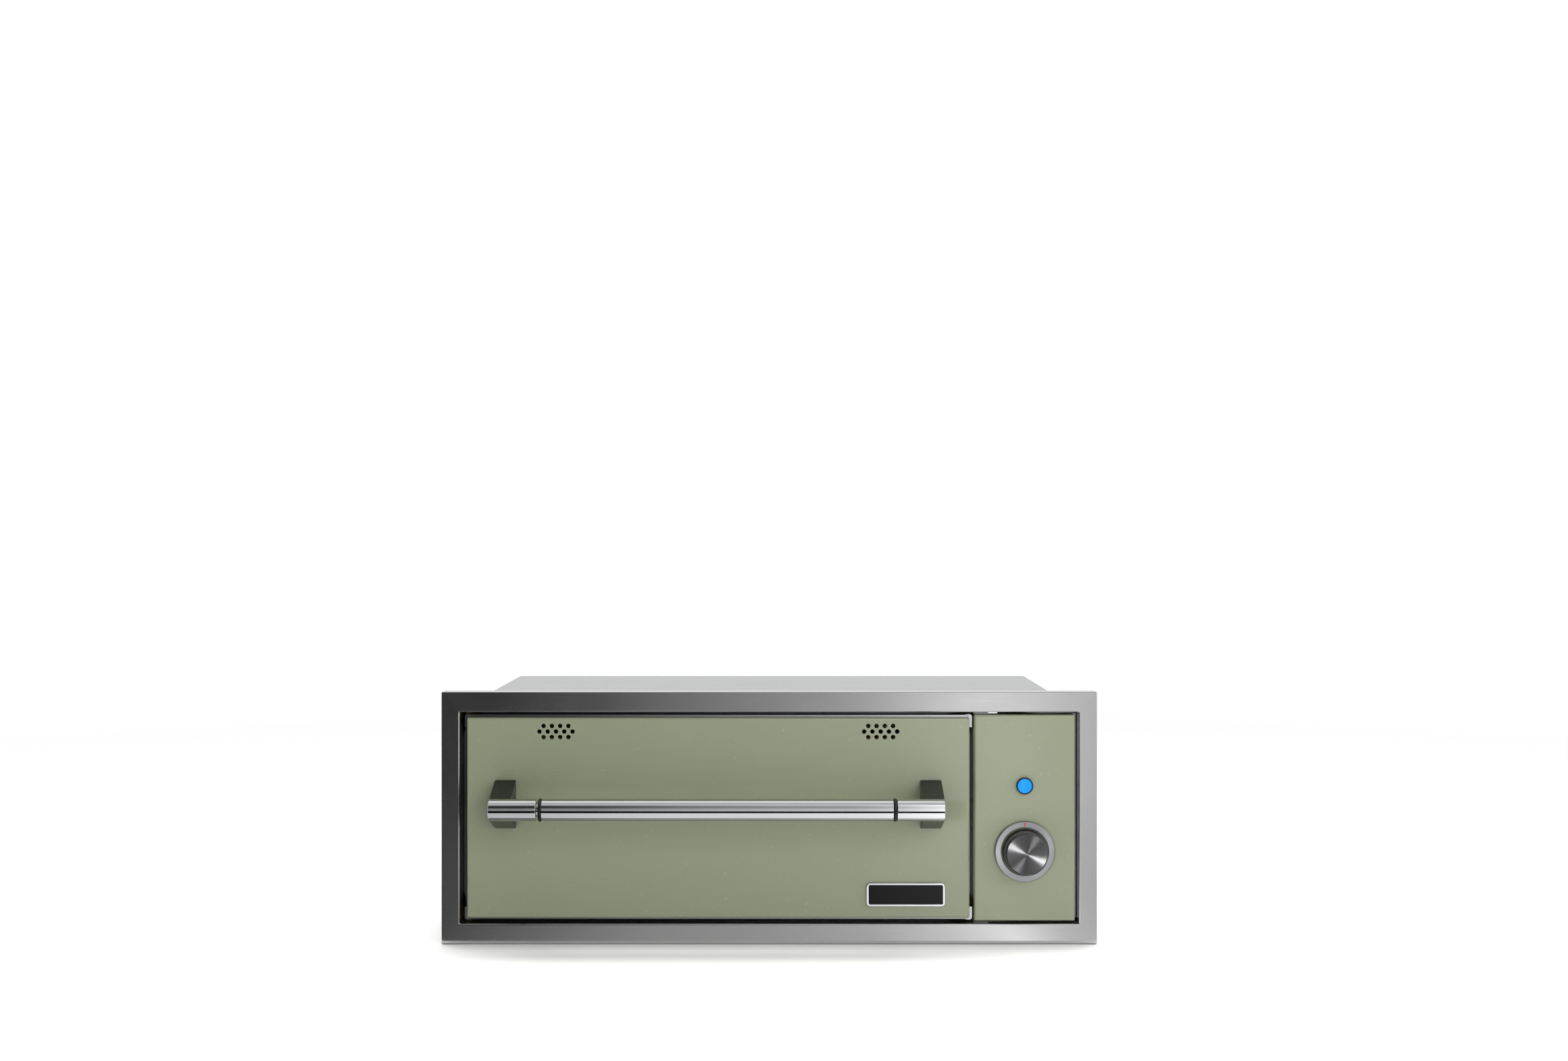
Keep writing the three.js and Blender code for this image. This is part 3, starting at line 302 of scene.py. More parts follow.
def add(tree, kind, settings=(), links=(), steps=()):
    """Adds a node: settings fill its properties or unlinked inputs, links join its inputs to outputs, and
    steps are the (place, grey) marks of a colour ramp."""
    node = tree.nodes.new(kind)
    for key, value in dict(settings).items():
        if isinstance(key, str) and hasattr(node, key):
            setattr(node, key, value)
        else:
            node.inputs[key].default_value = value
    for key, output in dict(links).items():
        tree.links.new(output, node.inputs[key])
    for i, (place, grey) in enumerate(steps):
        marks = node.color_ramp.elements
        mark = marks[i] if i < len(marks) else marks.new(place)
        mark.position = place
        mark.color = (grey, grey, grey, 1)
    return node


def bare(name):
    """A material with nothing in its node tree."""
    material = bpy.data.materials.new(name)
    material.use_nodes = True
    material.node_tree.nodes.clear()
    return material, material.node_tree


def shaded(tree, settings, links):
    """Ends a material's tree with the one shader that its pattern feeds."""
    shader = add(tree, "ShaderNodeBsdfPrincipled", settings, links)
    add(tree, "ShaderNodeOutputMaterial", links={"Surface": shader.outputs["BSDF"]})


def per(millimetres):
    """The scale at which a pattern repeats about once in that many millimetres."""
    return 1 / (millimetres * MM)


NOISE_SPAN = {"From Min": 0.3, "From Max": 0.7}  # Nearly all of a noise lies between these.


# Brushed stainless sheet, No. 4: 150-grit lines along each member. The eye sees one soft band that
# stretches across the lines, with faint lighter and darker streaks. Real scratches are 0.1 mm apart;
# they are drawn 0.9 mm apart so that they show.
def brushed(name, colour, roughness, anisotropy, streak=0.9, length=70, patch=60):
    material, tree = bare(name)
    grain = add(tree, "ShaderNodeUVMap", {"uv_map": "grain"})
    lines = add(tree, "ShaderNodeMapping", {"Scale": (per(length), per(streak), 1)},
                {"Vector": grain.outputs["UV"]})
    streaks = add(tree, "ShaderNodeTexNoise", {"Scale": 1, "Detail": 5, "Roughness": 0.65},
                  {"Vector": lines.outputs["Vector"]})
    drift = add(tree, "ShaderNodeTexNoise", {"Scale": per(patch), "Detail": 2},
                {"Vector": add(tree, "ShaderNodeTexCoord").outputs["Object"]})
    tone = add(tree, "ShaderNodeMix",
               {"data_type": "RGBA", "blend_type": "OVERLAY", 0: 0.09, 6: linear(colour)},
               {7: streaks.outputs["Color"]})
    shade = add(tree, "ShaderNodeHueSaturation", {"Saturation": 0.0, "Fac": 1.0}, {"Color": tone.outputs[2]})
    rough = add(tree, "ShaderNodeMapRange",
                {**NOISE_SPAN, "To Min": roughness * 0.9, "To Max": roughness * 1.1},
                {"Value": streaks.outputs["Fac"]})
    cloud = add(tree, "ShaderNodeMapRange",
                {"From Min": 0.35, "From Max": 0.65, "To Min": -0.02, "To Max": 0.02},
                {"Value": drift.outputs["Fac"]})
    both = add(tree, "ShaderNodeMath", {"operation": "ADD"}, {0: rough.outputs[0], 1: cloud.outputs[0]})
    relief = add(tree, "ShaderNodeBump", {"Strength": 0.03, "Distance": 0.05 * MM},
                 {"Height": streaks.outputs["Fac"]})
    along = add(tree, "ShaderNodeTangent", {"direction_type": "UV_MAP", "uv_map": "grain"})
    shaded(tree, {"Metallic": 1, "Anisotropic": anisotropy}, {
        "Base Color": shade.outputs[0], "Roughness": both.outputs[0], "Normal": relief.outputs[0],
        "Tangent": along.outputs[0]})
    return material


brushed_stainless = brushed("brushed_stainless_sheet", "#bdbebf", 0.25, 0.28)


# Stainless bar turned and spun-brushed on a lathe: fine rings about the axis, so light gathers into
# narrow wedges that meet at the middle. The rings are drawn 0.5 mm apart so that they show.
def spun(name, x, y, colour, roughness, anisotropy, ring=0.5):
    material, tree = bare(name)
    place = add(tree, "ShaderNodeTexCoord").outputs["Object"]
    centre = row(x, y, 0)
    from_axis = add(tree, "ShaderNodeVectorMath", {"operation": "SUBTRACT", 1: (centre.x, 0, centre.z)},
                    {0: place})
    flat = add(tree, "ShaderNodeVectorMath", {"operation": "MULTIPLY", 1: (1, 0, 1)},
               {0: from_axis.outputs[0]})
    reach = add(tree, "ShaderNodeVectorMath", {"operation": "LENGTH"}, {0: flat.outputs[0]})
    rings = add(tree, "ShaderNodeTexNoise",
                {"noise_dimensions": "1D", "Scale": per(ring), "Detail": 4, "Roughness": 0.7},
                {"W": reach.outputs["Value"]})
    tone = add(tree, "ShaderNodeMix",
               {"data_type": "RGBA", "blend_type": "OVERLAY", 0: 0.12, 6: linear(colour)},
               {7: rings.outputs["Fac"]})
    rough = add(tree, "ShaderNodeMapRange",
                {**NOISE_SPAN, "To Min": roughness * 0.8, "To Max": roughness * 1.2},
                {"Value": rings.outputs["Fac"]})
    relief = add(tree, "ShaderNodeBump", {"Strength": 0.02, "Distance": 0.04 * MM},
                 {"Height": rings.outputs["Fac"]})
    round_axis = add(tree, "ShaderNodeTangent", {"direction_type": "RADIAL", "axis": "Y"})
    shaded(tree, {"Metallic": 1, "Anisotropic": anisotropy}, {
        "Base Color": tone.outputs[2], "Roughness": rough.outputs[0], "Normal": relief.outputs[0],
        "Tangent": round_axis.outputs[0]})
    return material


def drifting(name, settings, wide, colours, roughness, spread, patch, fine, relief_strength):
    """A finish whose tone drifts over wide patches, and whose gloss and relief change over small ones."""
    material, tree = bare(name)
    place = add(tree, "ShaderNodeTexCoord").outputs["Object"]
    broad = add(tree, "ShaderNodeTexNoise", {"Scale": per(patch), **wide}, {"Vector": place})
    small = add(tree, "ShaderNodeTexNoise", {"Scale": per(fine), "Detail": 3, "Roughness": 0.6},
                {"Vector": place})
    tone = add(tree, "ShaderNodeMix", {"data_type": "RGBA", 6: linear(colours[0]), 7: linear(colours[1])},
               {0: broad.outputs["Fac"]})
    rough = add(tree, "ShaderNodeMapRange",
                {**NOISE_SPAN, "To Min": roughness - spread, "To Max": roughness + spread},
                {"Value": small.outputs["Fac"]})
    relief = add(tree, "ShaderNodeBump", {"Strength": relief_strength, "Distance": 0.05 * MM},
                 {"Height": small.outputs["Fac"]})
    shaded(tree, settings, {
        "Base Color": tone.outputs[2], "Roughness": rough.outputs[0], "Normal": relief.outputs[0]})
    return material


# A metal whose gloss and tone drift a little: polished, mill-rolled, plated or oxidised.
def plain_metal(name, *look):
    return drifting(name, {"Metallic": 1}, {"Detail": 4, "Roughness": 0.55}, *look)


# Polished stainless: buffed with compound, near mirror, with the faint haze that buffing leaves.
polished_stainless = plain_metal("polished_stainless", ("#cfd0d1", "#c6c8ca"), 0.075, 0.02, 40, 6, 0.02)
# Investment-cast stainless, tumbled and lightly polished: a darker, softer shine than the bar's.
cast_stainless = plain_metal("tumbled_cast_stainless", ("#525356", "#46474a"), 0.3, 0.04, 16, 1.2, 0.04)
# Mill-finish 2B sheet: cold rolled and pickled, an even grey satin with a slight cloudiness.
mill_stainless = plain_metal("mill_finish_stainless", ("#a6a8a9", "#b4b5b5"), 0.34, 0.05, 55, 3, 0.05)
# Bright zinc plate under clear passivate: a bluish white metal, a little patchy.
zinc_plate = plain_metal("zinc_plated_steel", ("#b4babf", "#c3c4bf"), 0.3, 0.07, 12, 1.5, 0.06)
# The element's nickel-alloy sheath, oxidised by its first firing to a dull grey brown.
fired_sheath = plain_metal("oxidised_heater_sheath", ("#4d4a45", "#6b645a"), 0.5, 0.1, 18, 1.2, 0.15)
# Drawn copper capillary, dulled by handling.
copper_tube = plain_metal("drawn_copper_tube", ("#a8623f", "#bb7450"), 0.36, 0.06, 9, 1.5, 0.06)


# A solid that is the same through: rubber, moulded resin, enamel or paint.
def moulded(name, colours, roughness, spread, patch, fine, relief_strength, more=()):
    return drifting(name, {"Metallic": 0, **dict(more)}, {"Detail": 3}, colours, roughness, spread, patch,
                    fine, relief_strength)


# Sage powder-coat enamel, sprayed and baked: even colour under a clear gloss, with a slight orange peel
# about 5 mm across that softens the edges of what it reflects.
sage_enamel = moulded(
    "sage_baked_enamel", ("#878d74", "#8a9077"), 0.26, 0.015, 90, 5, 0.004,
    {"Coat Weight": 0.6, "Coat Roughness": 0.08, "IOR": 1.5})
# Black nitrile rubber, moulded: matt, with the fine bloom of the mould.
nitrile_rubber = moulded("black_nitrile_rubber", ("#0d0d0d", "#141414"), 0.55, 0.08, 6, 0.5, 0.1)
# Grey-black silicone seal, extruded: soft sheen.
silicone_seal = moulded("silicone_door_seal", ("#1b1b1c", "#232324"), 0.5, 0.06, 14, 0.8, 0.12)
# Glass-filled black nylon, moulded: low gloss with a fine spark-eroded grain.
black_nylon = moulded("moulded_black_nylon", ("#0f1011", "#17181a"), 0.34, 0.06, 8, 0.4, 0.12)
# Blue polycarbonate lens with its lamp lit behind it.
blue_lens = moulded(
    "lit_blue_polycarbonate", ("#003f7a", "#004888"), 0.16, 0.02, 9, 1.2, 0.02,
    {"Emission Color": linear("#0096ff"), "Emission Strength": 0.95, "IOR": 1.4})
# Black glass enamel in the badge's field: fired, with a glassy surface.
black_enamel = moulded(
    "fired_black_enamel", ("#050506", "#08080a"), 0.16, 0.03, 20, 1.5, 0.02, {"IOR": 1.33})
# Red filling paint, pressed into the engraved index line.
red_paint = moulded("red_filling_paint", ("#c31f1a", "#d0281f"), 0.4, 0.05, 1.5, 0.3, 0.05)
# Black filling paint in the knob's mark.
black_paint = moulded("black_filling_paint", ("#08080a", "#101012"), 0.4, 0.05, 1.5, 0.3, 0.05)
# Bonded mineral wool: matted yellow-brown fibres.
mineral_wool = moulded("bonded_mineral_wool", ("#b49e5c", "#8f7d45"), 0.92, 0.05, 14, 1.1, 0.9)

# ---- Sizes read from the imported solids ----

trim_x, trim_y, _ = extent("trim_frame")
panel_x, panel_y, panel_z = extent("drawer_panel")
backer_x, backer_y, backer_z = extent("drawer_backer")
control_x, control_y, control_z = extent("control_panel")
knob_x, knob_y, knob_z = extent("knob")
bezel_x, bezel_y, bezel_z = extent("knob_bezel")
badge_x, badge_y, badge_z = extent("badge_plate")
bar_x, bar_y, bar_z = extent("handle_bar")


def middle(pair):
    return (pair[0] + pair[1]) / 2


def size(pair):
    return pair[1] - pair[0]


SHEET, ENAMEL = 1.2, 1.0  # Thickness of the stainless and of the enamelled sheet.

# ---- Trim: one folded frame, welded and blended at its corners ----

SIDE_FACE, END_FACE = 21.7, 24
OUTER_RETURN, INNER_RETURN, HEM = 19, 15, 8
OPENING_CORNER = 1
opening = (size(trim_x) - 2 * SIDE_FACE, size(trim_y) - 2 * END_FACE)


def trim_frame():
    """The rear lip of the opening, its fold to the face, the outer fold, the hem, and the way back inside."""
    mid = middle(trim_y)
    hem = BEND - OUTER_RETURN
    thin = BEND - SHEET

    def bend(radius, start, end, low=-BEND):
        return arc(BEND, low, radius, start, end, FOLD_STEPS)

    def inner(section):
        return stepped(*opening, OPENING_CORNER, 0, mid, section)

    def outer(section):
        return stepped(size(trim_x), size(trim_y), BEND, 0, mid, [(-inset, z) for inset, z in section])

    return lofted([
        *inner([(0, -INNER_RETURN), *bend(BEND, 180, 90)]),
        *outer([*bend(BEND, 90, 180), *bend(BEND, 180, 270, hem), (HEM, -OUTER_RETURN),
                (HEM, SHEET - OUTER_RETURN), *bend(thin, 270, 180, hem), *bend(thin, 180, 90)]),
        *inner([*bend(thin, 90, 180), (SHEET, -INNER_RETURN)]),
    ], ring=True)


def along_member(centre, normal):
    """Brushing runs along each of the trim's four members and turns at the mitre."""
    x, z = abs(centre.x) / MM, abs(centre.z / MM - middle(trim_y))
    on_side = (x - opening[0] / 2) / SIDE_FACE > (z - opening[1] / 2) / END_FACE
    return Vector((0, 0, 1)) if on_side else Vector((1, 0, 0))


make("trim", trim_frame(), brushed_stainless, "chassis", ["trim_frame"], grain=along_member)

# ---- Drawer front ----

PANEL_FOLD = 3
VENT_RADIUS, VENT_LIP, VENT_DEPTH = 2.5, 0.75, 2.2
VENT_GAP, VENT_ROW = 9.6, 6.5
VENT_FROM_SIDE, VENT_FROM_TOP = 103.4, 16.3
SHAFT_HOLE, LAMP_HOLE = 5.05, 7.6
vent_rows = [(4, 1), (5, 0), (4, -1)]
vent_middles = [panel_x[0] + VENT_FROM_SIDE, panel_x[1] - VENT_FROM_SIDE]
vent_y = panel_y[1] - VENT_FROM_TOP
vents = [
    (x + (i - (count - 1) / 2) * VENT_GAP, vent_y + up * VENT_ROW, VENT_RADIUS)
    for x in vent_middles for count, up in vent_rows for i in range(count)
]

make("enamelled_front", pan(
    size(panel_x), size(panel_y), size(panel_z), ENAMEL, PANEL_FOLD, BEND, middle(panel_x), middle(panel_y),
    panel_z[1], holes=vents, lip=VENT_LIP, hole_depth=VENT_DEPTH,
), sage_enamel, "drawer", ["drawer_panel"])

make("enamelled_control_panel", pan(
    size(control_x), size(control_y), size(control_z), ENAMEL, PANEL_FOLD, BEND, middle(control_x),
    middle(control_y), control_z[1],
    holes=[(middle(knob_x), middle(knob_y), SHAFT_HOLE),
           (middle(knob_x), middle(extent("lamp_lens")[1]), LAMP_HOLE)],
), sage_enamel, "chassis", ["control_panel"])


WINDOW, WINDOW_STEPS = (49.4, 18), 6
TAB_HEIGHT, TAB_CORNER, TAB_OVERLAP, TAB_INSET, TAB_BEHIND = 15, 3, 4, 0.4, 0.3


def backer():
    """The stainless pan behind the enamel, with windows for the vents and a rounded tab at each corner."""
    x, y, front = middle(panel_x), middle(backer_y), backer_z[1]
    width, height, depth = size(panel_x), size(backer_y), size(backer_z)
    outline = rounded(width - 2 * BEND, height - 2 * BEND, 0, x, y)
    windows = [rounded(*WINDOW, WINDOW[1] / 2, vx, vent_y, WINDOW_STEPS) for vx in vent_middles]
    section = (arc(-BEND, -BEND, BEND, 90, 0, FOLD_STEPS) + [(0, -depth), (-SHEET, -depth)]
               + arc(-BEND, -BEND, BEND - SHEET, 0, 90, FOLD_STEPS))
    wall = lofted(stepped(width, height, BEND, x, y, section, front), caps=OPEN_ENDS)
    tubes = [lofted([level(w, front), level(w, front - SHEET)], caps=OPEN_ENDS) for w in windows]
    face = joined(wall, filled(outline, windows, front), filled(outline, windows, front - SHEET), *tubes)
    tabs = []
    reach = (size(backer_x) - width) / 2 + TAB_OVERLAP
    for sx in (-1, 1):
        for sy in (-1, 1):
            edge = x + sx * size(backer_x) / 2
            far = y + sy * (height / 2 - TAB_INSET)
            near = far - sy * TAB_HEIGHT
            curve = [(edge - sx * (TAB_CORNER - a), far - sy * (TAB_CORNER - b))
                     for a, b in arc(0, 0, TAB_CORNER, 0, 90, FOLD_STEPS)]
            shape = [(edge, near), *curve, (edge - sx * reach, far), (edge - sx * reach, near)]
            tabs.append(lofted([level(shape, front - SHEET), level(shape, front - TAB_BEHIND)]))
    return joined(face, *tabs)


make("stainless_backer", backer(), brushed_stainless, "drawer", ["drawer_backer"])

# ---- Handle ----

BAR = size(bar_y) / 2
bar_axis = (middle(bar_y), middle(bar_z))
RING_PROUD, RING_ROLL, NECK, NECK_PLAY = 0.6, 1.3, 7.8, 0.3
POST_WIDTH, POST_EASE, POST_INSET, NOSE_STEPS = 24.5, 0.8, 0.3, 32
TUBE_PLAY = 0.3


def handle_end(side):
    """A cast post whose flanks run tangent to the barrel that carries the bar, and that barrel."""
    (left, right), (low, high), (back, _) = extent("handle_end_left" if side < 0 else "handle_end_right")
    y, z = bar_axis
    ease = POST_EASE
    turns = [math.radians(t) for t in (0, 22, 45, 67, 90)]
    rim = [(BAR - ease + ease * math.sin(t), ease - ease * math.cos(t)) for t in turns]
    barrel = across([(0, left), *[(r, left + h) for r, h in rim],
                     *[(r, right - h) for r, h in reversed(rim)], (0, right)], y, z)
    half, deep = (high - low) / 2, z - back
    nose = BAR - POST_INSET
    turn = math.degrees(math.atan2(half, deep) + math.acos(nose / math.hypot(deep, half)))
    flank = [(-deep, -half), (-deep, half), *arc(0, 0, nose, 180 - turn, turn - 180, NOSE_STEPS)]
    outer = left if side < 0 else right
    ends = sorted((outer, outer - side * POST_WIDTH))
    return lofted([[(x, y + b, z + a) for a, b in flank] for x in ends]), barrel


for side, hand in ((-1, "left"), (1, "right")):
    post, barrel = handle_end(side)
    make(f"handle_post_{hand}", post, cast_stainless, "drawer",
         [f"handle_end_{hand}"], ease=POST_EASE)
    make(f"handle_barrel_{hand}", barrel, polished_stainless, "drawer")
    (left, right), _, _ = extent(f"handle_ring_{hand}")
    crown = BAR + RING_PROUD - RING_ROLL
    roll = arc(0, 0, RING_ROLL, 0, 90, FOLD_STEPS)
    bead = [(NECK + NECK_PLAY, left)]
    bead += [(crown + a, left + RING_ROLL - b) for b, a in roll]
    bead += [(crown + a, right - RING_ROLL + b) for a, b in roll]
    bead += [(NECK + NECK_PLAY, right)]
    make(f"handle_ring_{hand}_bead", across(bead, *bar_axis), nitrile_rubber, "drawer",
         [f"handle_ring_{hand}"])

ring_left, ring_right = extent("handle_ring_left")[0], extent("handle_ring_right")[0]
tube = (ring_left[1] + TUBE_PLAY, ring_right[0] - TUBE_PLAY)
make("handle_tube", across([
    (0, bar_x[0]), (NECK - 0.2, bar_x[0]), (NECK, bar_x[0] + 0.2), (NECK, tube[0]),
    (BAR - 0.5, tube[0]), (BAR - 0.15, tube[0] + 0.15), (BAR, tube[0] + 0.5),
    (BAR, tube[1] - 0.5), (BAR - 0.15, tube[1] - 0.15), (BAR - 0.5, tube[1]),
    (NECK, tube[1]), (NECK, bar_x[1] - 0.2), (NECK - 0.2, bar_x[1]), (0, bar_x[1]),
], *bar_axis), polished_stainless, "drawer", ["handle_bar"])

# ---- Badge: a polished rim round a bare black field ----

RIM, RIM_ROLL, RIM_INNER_DROP, RECESS, BADGE_CORNER = 2.8, 0.9, 1.5, 0.7, 4.5
badge = (middle(badge_x), middle(badge_y))


def badge_rim():
    back, front = badge_z
    section = [(0, back), *arc(RIM_ROLL, front - RIM_ROLL, RIM_ROLL, 180, 90, FOLD_STEPS),
               *arc(RIM - RIM_ROLL, front - RIM_ROLL, RIM_ROLL, 90, 0, FOLD_STEPS),
               (RIM, front - RIM_INNER_DROP), (RIM, back)]
    return lofted(stepped(size(badge_x), size(badge_y), BADGE_CORNER, *badge, [(-i, z) for i, z in section]),
                  ring=True)


def badge_field():
    """The field reaches a little under the rim, and rises by a hair to its middle."""
    width, height = size(badge_x) - 2 * RIM, size(badge_y) - 2 * RIM
    top = badge_z[1] - RECESS
    section = [(0.1, badge_z[0]), (0.1, top - 0.5), (-0.2, top - 0.1), (-0.8, top), (-4, top + 0.05)]
    return lofted(stepped(width, height, BADGE_CORNER - RIM, *badge, section))


make("badge_rim", badge_rim(), polished_stainless, "drawer", ["badge_plate"])
make("badge_field", badge_field(), black_enamel, "drawer")

# ---- Knob, bezel and pilot lamp ----

knob_at = (middle(knob_x), middle(knob_y))
spun_stainless = spun("spun_brushed_stainless", *knob_at, "#59595a", 0.36, 1)
turned_stainless = spun("fine_turned_stainless", *knob_at, "#a2a3a4", 0.24, 0.97)
FACE_RADIUS, BASE_RADIUS, BEZEL_BORE = 24.7, size(knob_x) / 2, 27.75
TURNED_SIDES = 128


def knob_cap():
    back, front = knob_z
    return turned([
        (0, back + 3), (5, back + 3), (5, back), (BASE_RADIUS - 2.4, back), (BASE_RADIUS - 0.5, back),
        (BASE_RADIUS - 0.1, back + 0.3), (BASE_RADIUS, back + 0.8), (BASE_RADIUS, back + 1.6),
        (FACE_RADIUS + 0.06, front - 3.2), (FACE_RADIUS, front - 1.9), (FACE_RADIUS - 0.25, front - 1.45),
        (FACE_RADIUS - 1.25, front - 0.28), (FACE_RADIUS - 1.7, front), (0.4, front), (0, front),
    ], *knob_at, sides=TURNED_SIDES)


def knob_bezel():
    back, front = bezel_z
    outer, bore = size(bezel_x) / 2, BEZEL_BORE
    return turned([
        (bore, back), (outer - 0.2, back), (outer, back + 0.3), (outer, front - 1.5),
        (outer - 0.15, front - 1.1), (outer - 0.9, front - 0.15), (outer - 1.2, front),
        (bore + 0.5, front), (bore + 0.15, front - 0.12), (bore, front - 0.45),
    ], *knob_at, sides=TURNED_SIDES)


make("knob_turned", knob_cap(), spun_stainless, "knob_unit", ["knob"], crease=24)
make("knob_bezel_ring", knob_bezel(), turned_stainless, "chassis", ["knob_bezel"], crease=24)
index = (knob_at[0], knob_at[1] + (size(bezel_x) / 2 + BEZEL_BORE) / 2)
make("index_line", lofted([
    level(rounded(1.3, 4.2, 0.3, *index), z) for z in (bezel_z[1] - 0.4, bezel_z[1] + 0.04)
]), red_paint, "chassis")
make("knob_mark", lofted([
    level(circle(knob_at[0], knob_at[1] + FACE_RADIUS - 0.75, 0.65, 20), z)
    for z in (knob_z[1] - 2, knob_z[1] - 0.55)
]), black_paint, "knob_unit")

lamp_x, lamp_y, lamp_z = extent("lamp_bezel")
lamp_at = (middle(lamp_x), middle(lamp_y))
LAMP, LENS = size(lamp_x) / 2, 8.2
make("lamp_collar", turned([
    (LENS + 0.15, lamp_z[0]), (LAMP, lamp_z[0]), (LAMP, lamp_z[1] - 1.0), (LAMP - 0.12, lamp_z[1] - 0.5),
    (LAMP - 0.5, lamp_z[1] - 0.1), (LAMP - 0.9, lamp_z[1]), (LENS + 0.4, lamp_z[1]),
    (LENS + 0.15, lamp_z[1] - 0.3),
], *lamp_at), black_nylon, "chassis", ["lamp_bezel"])
make("lamp_window", turned([
    (0, lamp_z[0]), (LENS, lamp_z[0]), (LENS, lamp_z[1] - 1.1), (LENS - 0.3, lamp_z[1] - 0.8),
    (LENS * 0.6, lamp_z[1] - 0.35), (LENS * 0.25, lamp_z[1] - 0.22), (0, lamp_z[1] - 0.2),
], *lamp_at), blue_lens, "chassis", ["lamp_lens"])

# ---- Pan, slides and their balls ----

pan_x, pan_y, pan_z = extent("drawer_pan")


def upright(shell):
    """A form drawn facing the viewer, laid down so that it opens upwards."""
    points, faces = shell
    return [(x, -z, y) for x, y, z in points], faces


PAN_RIM, PAN_SHEET, PAN_FOLD, PAN_CORNER = 8, 0.9, 12, 22
laid = pan(size(pan_x) - 2 * PAN_RIM, size(pan_z) - 2 * PAN_RIM, size(pan_y), PAN_SHEET, PAN_FOLD, PAN_CORNER,
           middle(pan_x), middle(pan_z), -pan_y[0], flange=PAN_RIM)
make("drawn_pan", upright(laid), mill_stainless, "drawer", ["drawer_pan"], grain=OUT)

BALL, BALL_PLAY, BALLS_IN_ROW = 2.5, 0.02, 14
for hand, side in (("left", 1), ("right", -1)):
    for kind, body in (("outer", "outer_cages"), ("inner", "inner_cages")):
        node = f"{kind}_cage_{hand}"
        ends, (low, high), (back, front) = extent(node)
        near, far = ends[::side]
        ball_x = far - side * BALL if kind == "outer" else near + side * BALL
        row_y = (high - low) / 2 - BALL
        balls = [
            ball(ball_x, (low + high) / 2 + up * row_y, back + (front - back) * (i + 0.5) / BALLS_IN_ROW,
                 BALL - BALL_PLAY)
            for up in (-1, 1) for i in range(BALLS_IN_ROW)
        ]
        make(f"{node}_balls", joined(*balls), polished_stainless, body)

# ---- The imported solids that keep their own shape, most with eased edges ----

OWN_SHAPE = [
    (mill_stainless, "mill_steel", 0.35, UP, ["housing_wrapper", "base_plate", "back_panel", "divider_wall",
                                              "control_bracket", "cavity_liner"]),
    (mill_stainless, "mill_steel", 0.35, RIGHT, ["inner_door_panel", "drawer_side_left", "drawer_side_right",
                                                 "drawer_rear_rail"]),
    (silicone_seal, "black_rubber", 0, RIGHT, ["door_gasket"]),
    (mineral_wool, "mineral_wool", 0, RIGHT, ["insulation_top", "insulation_bottom", "insulation_left",
                                              "insulation_right", "insulation_rear", "front_insulation"]),
    (zinc_plate, "zinc_plate", 0.2, RIGHT, [
        "control_shaft", "control_nut", "junction_box",
        *[f"{kind}_{i}" for kind in ("element_clip", "handle_screw") for i in (1, 2, 3, 4)]]),
    (zinc_plate, "zinc_plate", 0.12, OUT, [
        f"slide_{kind}_{hand}" for kind in ("outer", "mid", "inner") for hand in ("left", "right")]),
    (zinc_plate, "zinc_plate", 0.06, OUT, [
        f"{kind}_cage_{hand}" for kind in ("outer", "inner") for hand in ("left", "right")]),
    (black_nylon, "black_resin", 0.3, RIGHT, ["thermostat", "lamp_body", "cord_gland"]),
    (fired_sheath, "sheathed_rod", 0, RIGHT, ["heating_element"]),
    (copper_tube, "copper_tube", 0, RIGHT, ["thermostat_sensor"]),
]
for finish, slot, ease, grain, nodes in OWN_SHAPE:
    for node in nodes:
        eased(node, finish, ease, grain)

# ---- Studio ----

scene = bpy.context.scene
scene.view_settings.view_transform = "Standard"
scene.view_settings.look = "None"

# A pale laminate floor, matt, with a trace of mottling. Far from the drawer it is lit to plain white.
pale_floor = moulded("pale_matt_floor", ("#f3f3f2", "#efefee"), 0.7, 0.05, 600, 20, 0.0)
NEAR_FLOOR, FAR_FLOOR, FLOOR_END = 1.1, 3.0, 9
laminate = pale_floor.node_tree
away = add(laminate, "ShaderNodeVectorMath", {"operation": "LENGTH"},
           {0: add(laminate, "ShaderNodeTexCoord").outputs["Object"]})
far = add(laminate, "ShaderNodeMapRange", {"From Min": NEAR_FLOOR, "From Max": FAR_FLOOR},
          {"Value": away.outputs["Value"]})
white = add(laminate, "ShaderNodeEmission", {"Color": (1, 1, 1, 1), "Strength": 1})
swept = add(laminate, "ShaderNodeMixShader", links={
    0: far.outputs[0], 1: laminate.nodes["Principled BSDF"].outputs["BSDF"], 2: white.outputs[0]})
laminate.links.new(swept.outputs[0], laminate.nodes["Material Output"].inputs["Surface"])
floor = bpy.data.objects.new("floor", bpy.data.meshes.new("floor"))
floor.data.from_pydata([(x * FLOOR_END, y * FLOOR_END, 0) for x, y in ((-1, -1), (1, -1), (1, 1), (-1, 1))],
                       [], [(0, 1, 2, 3)])
floor.data.materials.append(pale_floor)
scene.collection.objects.link(floor)


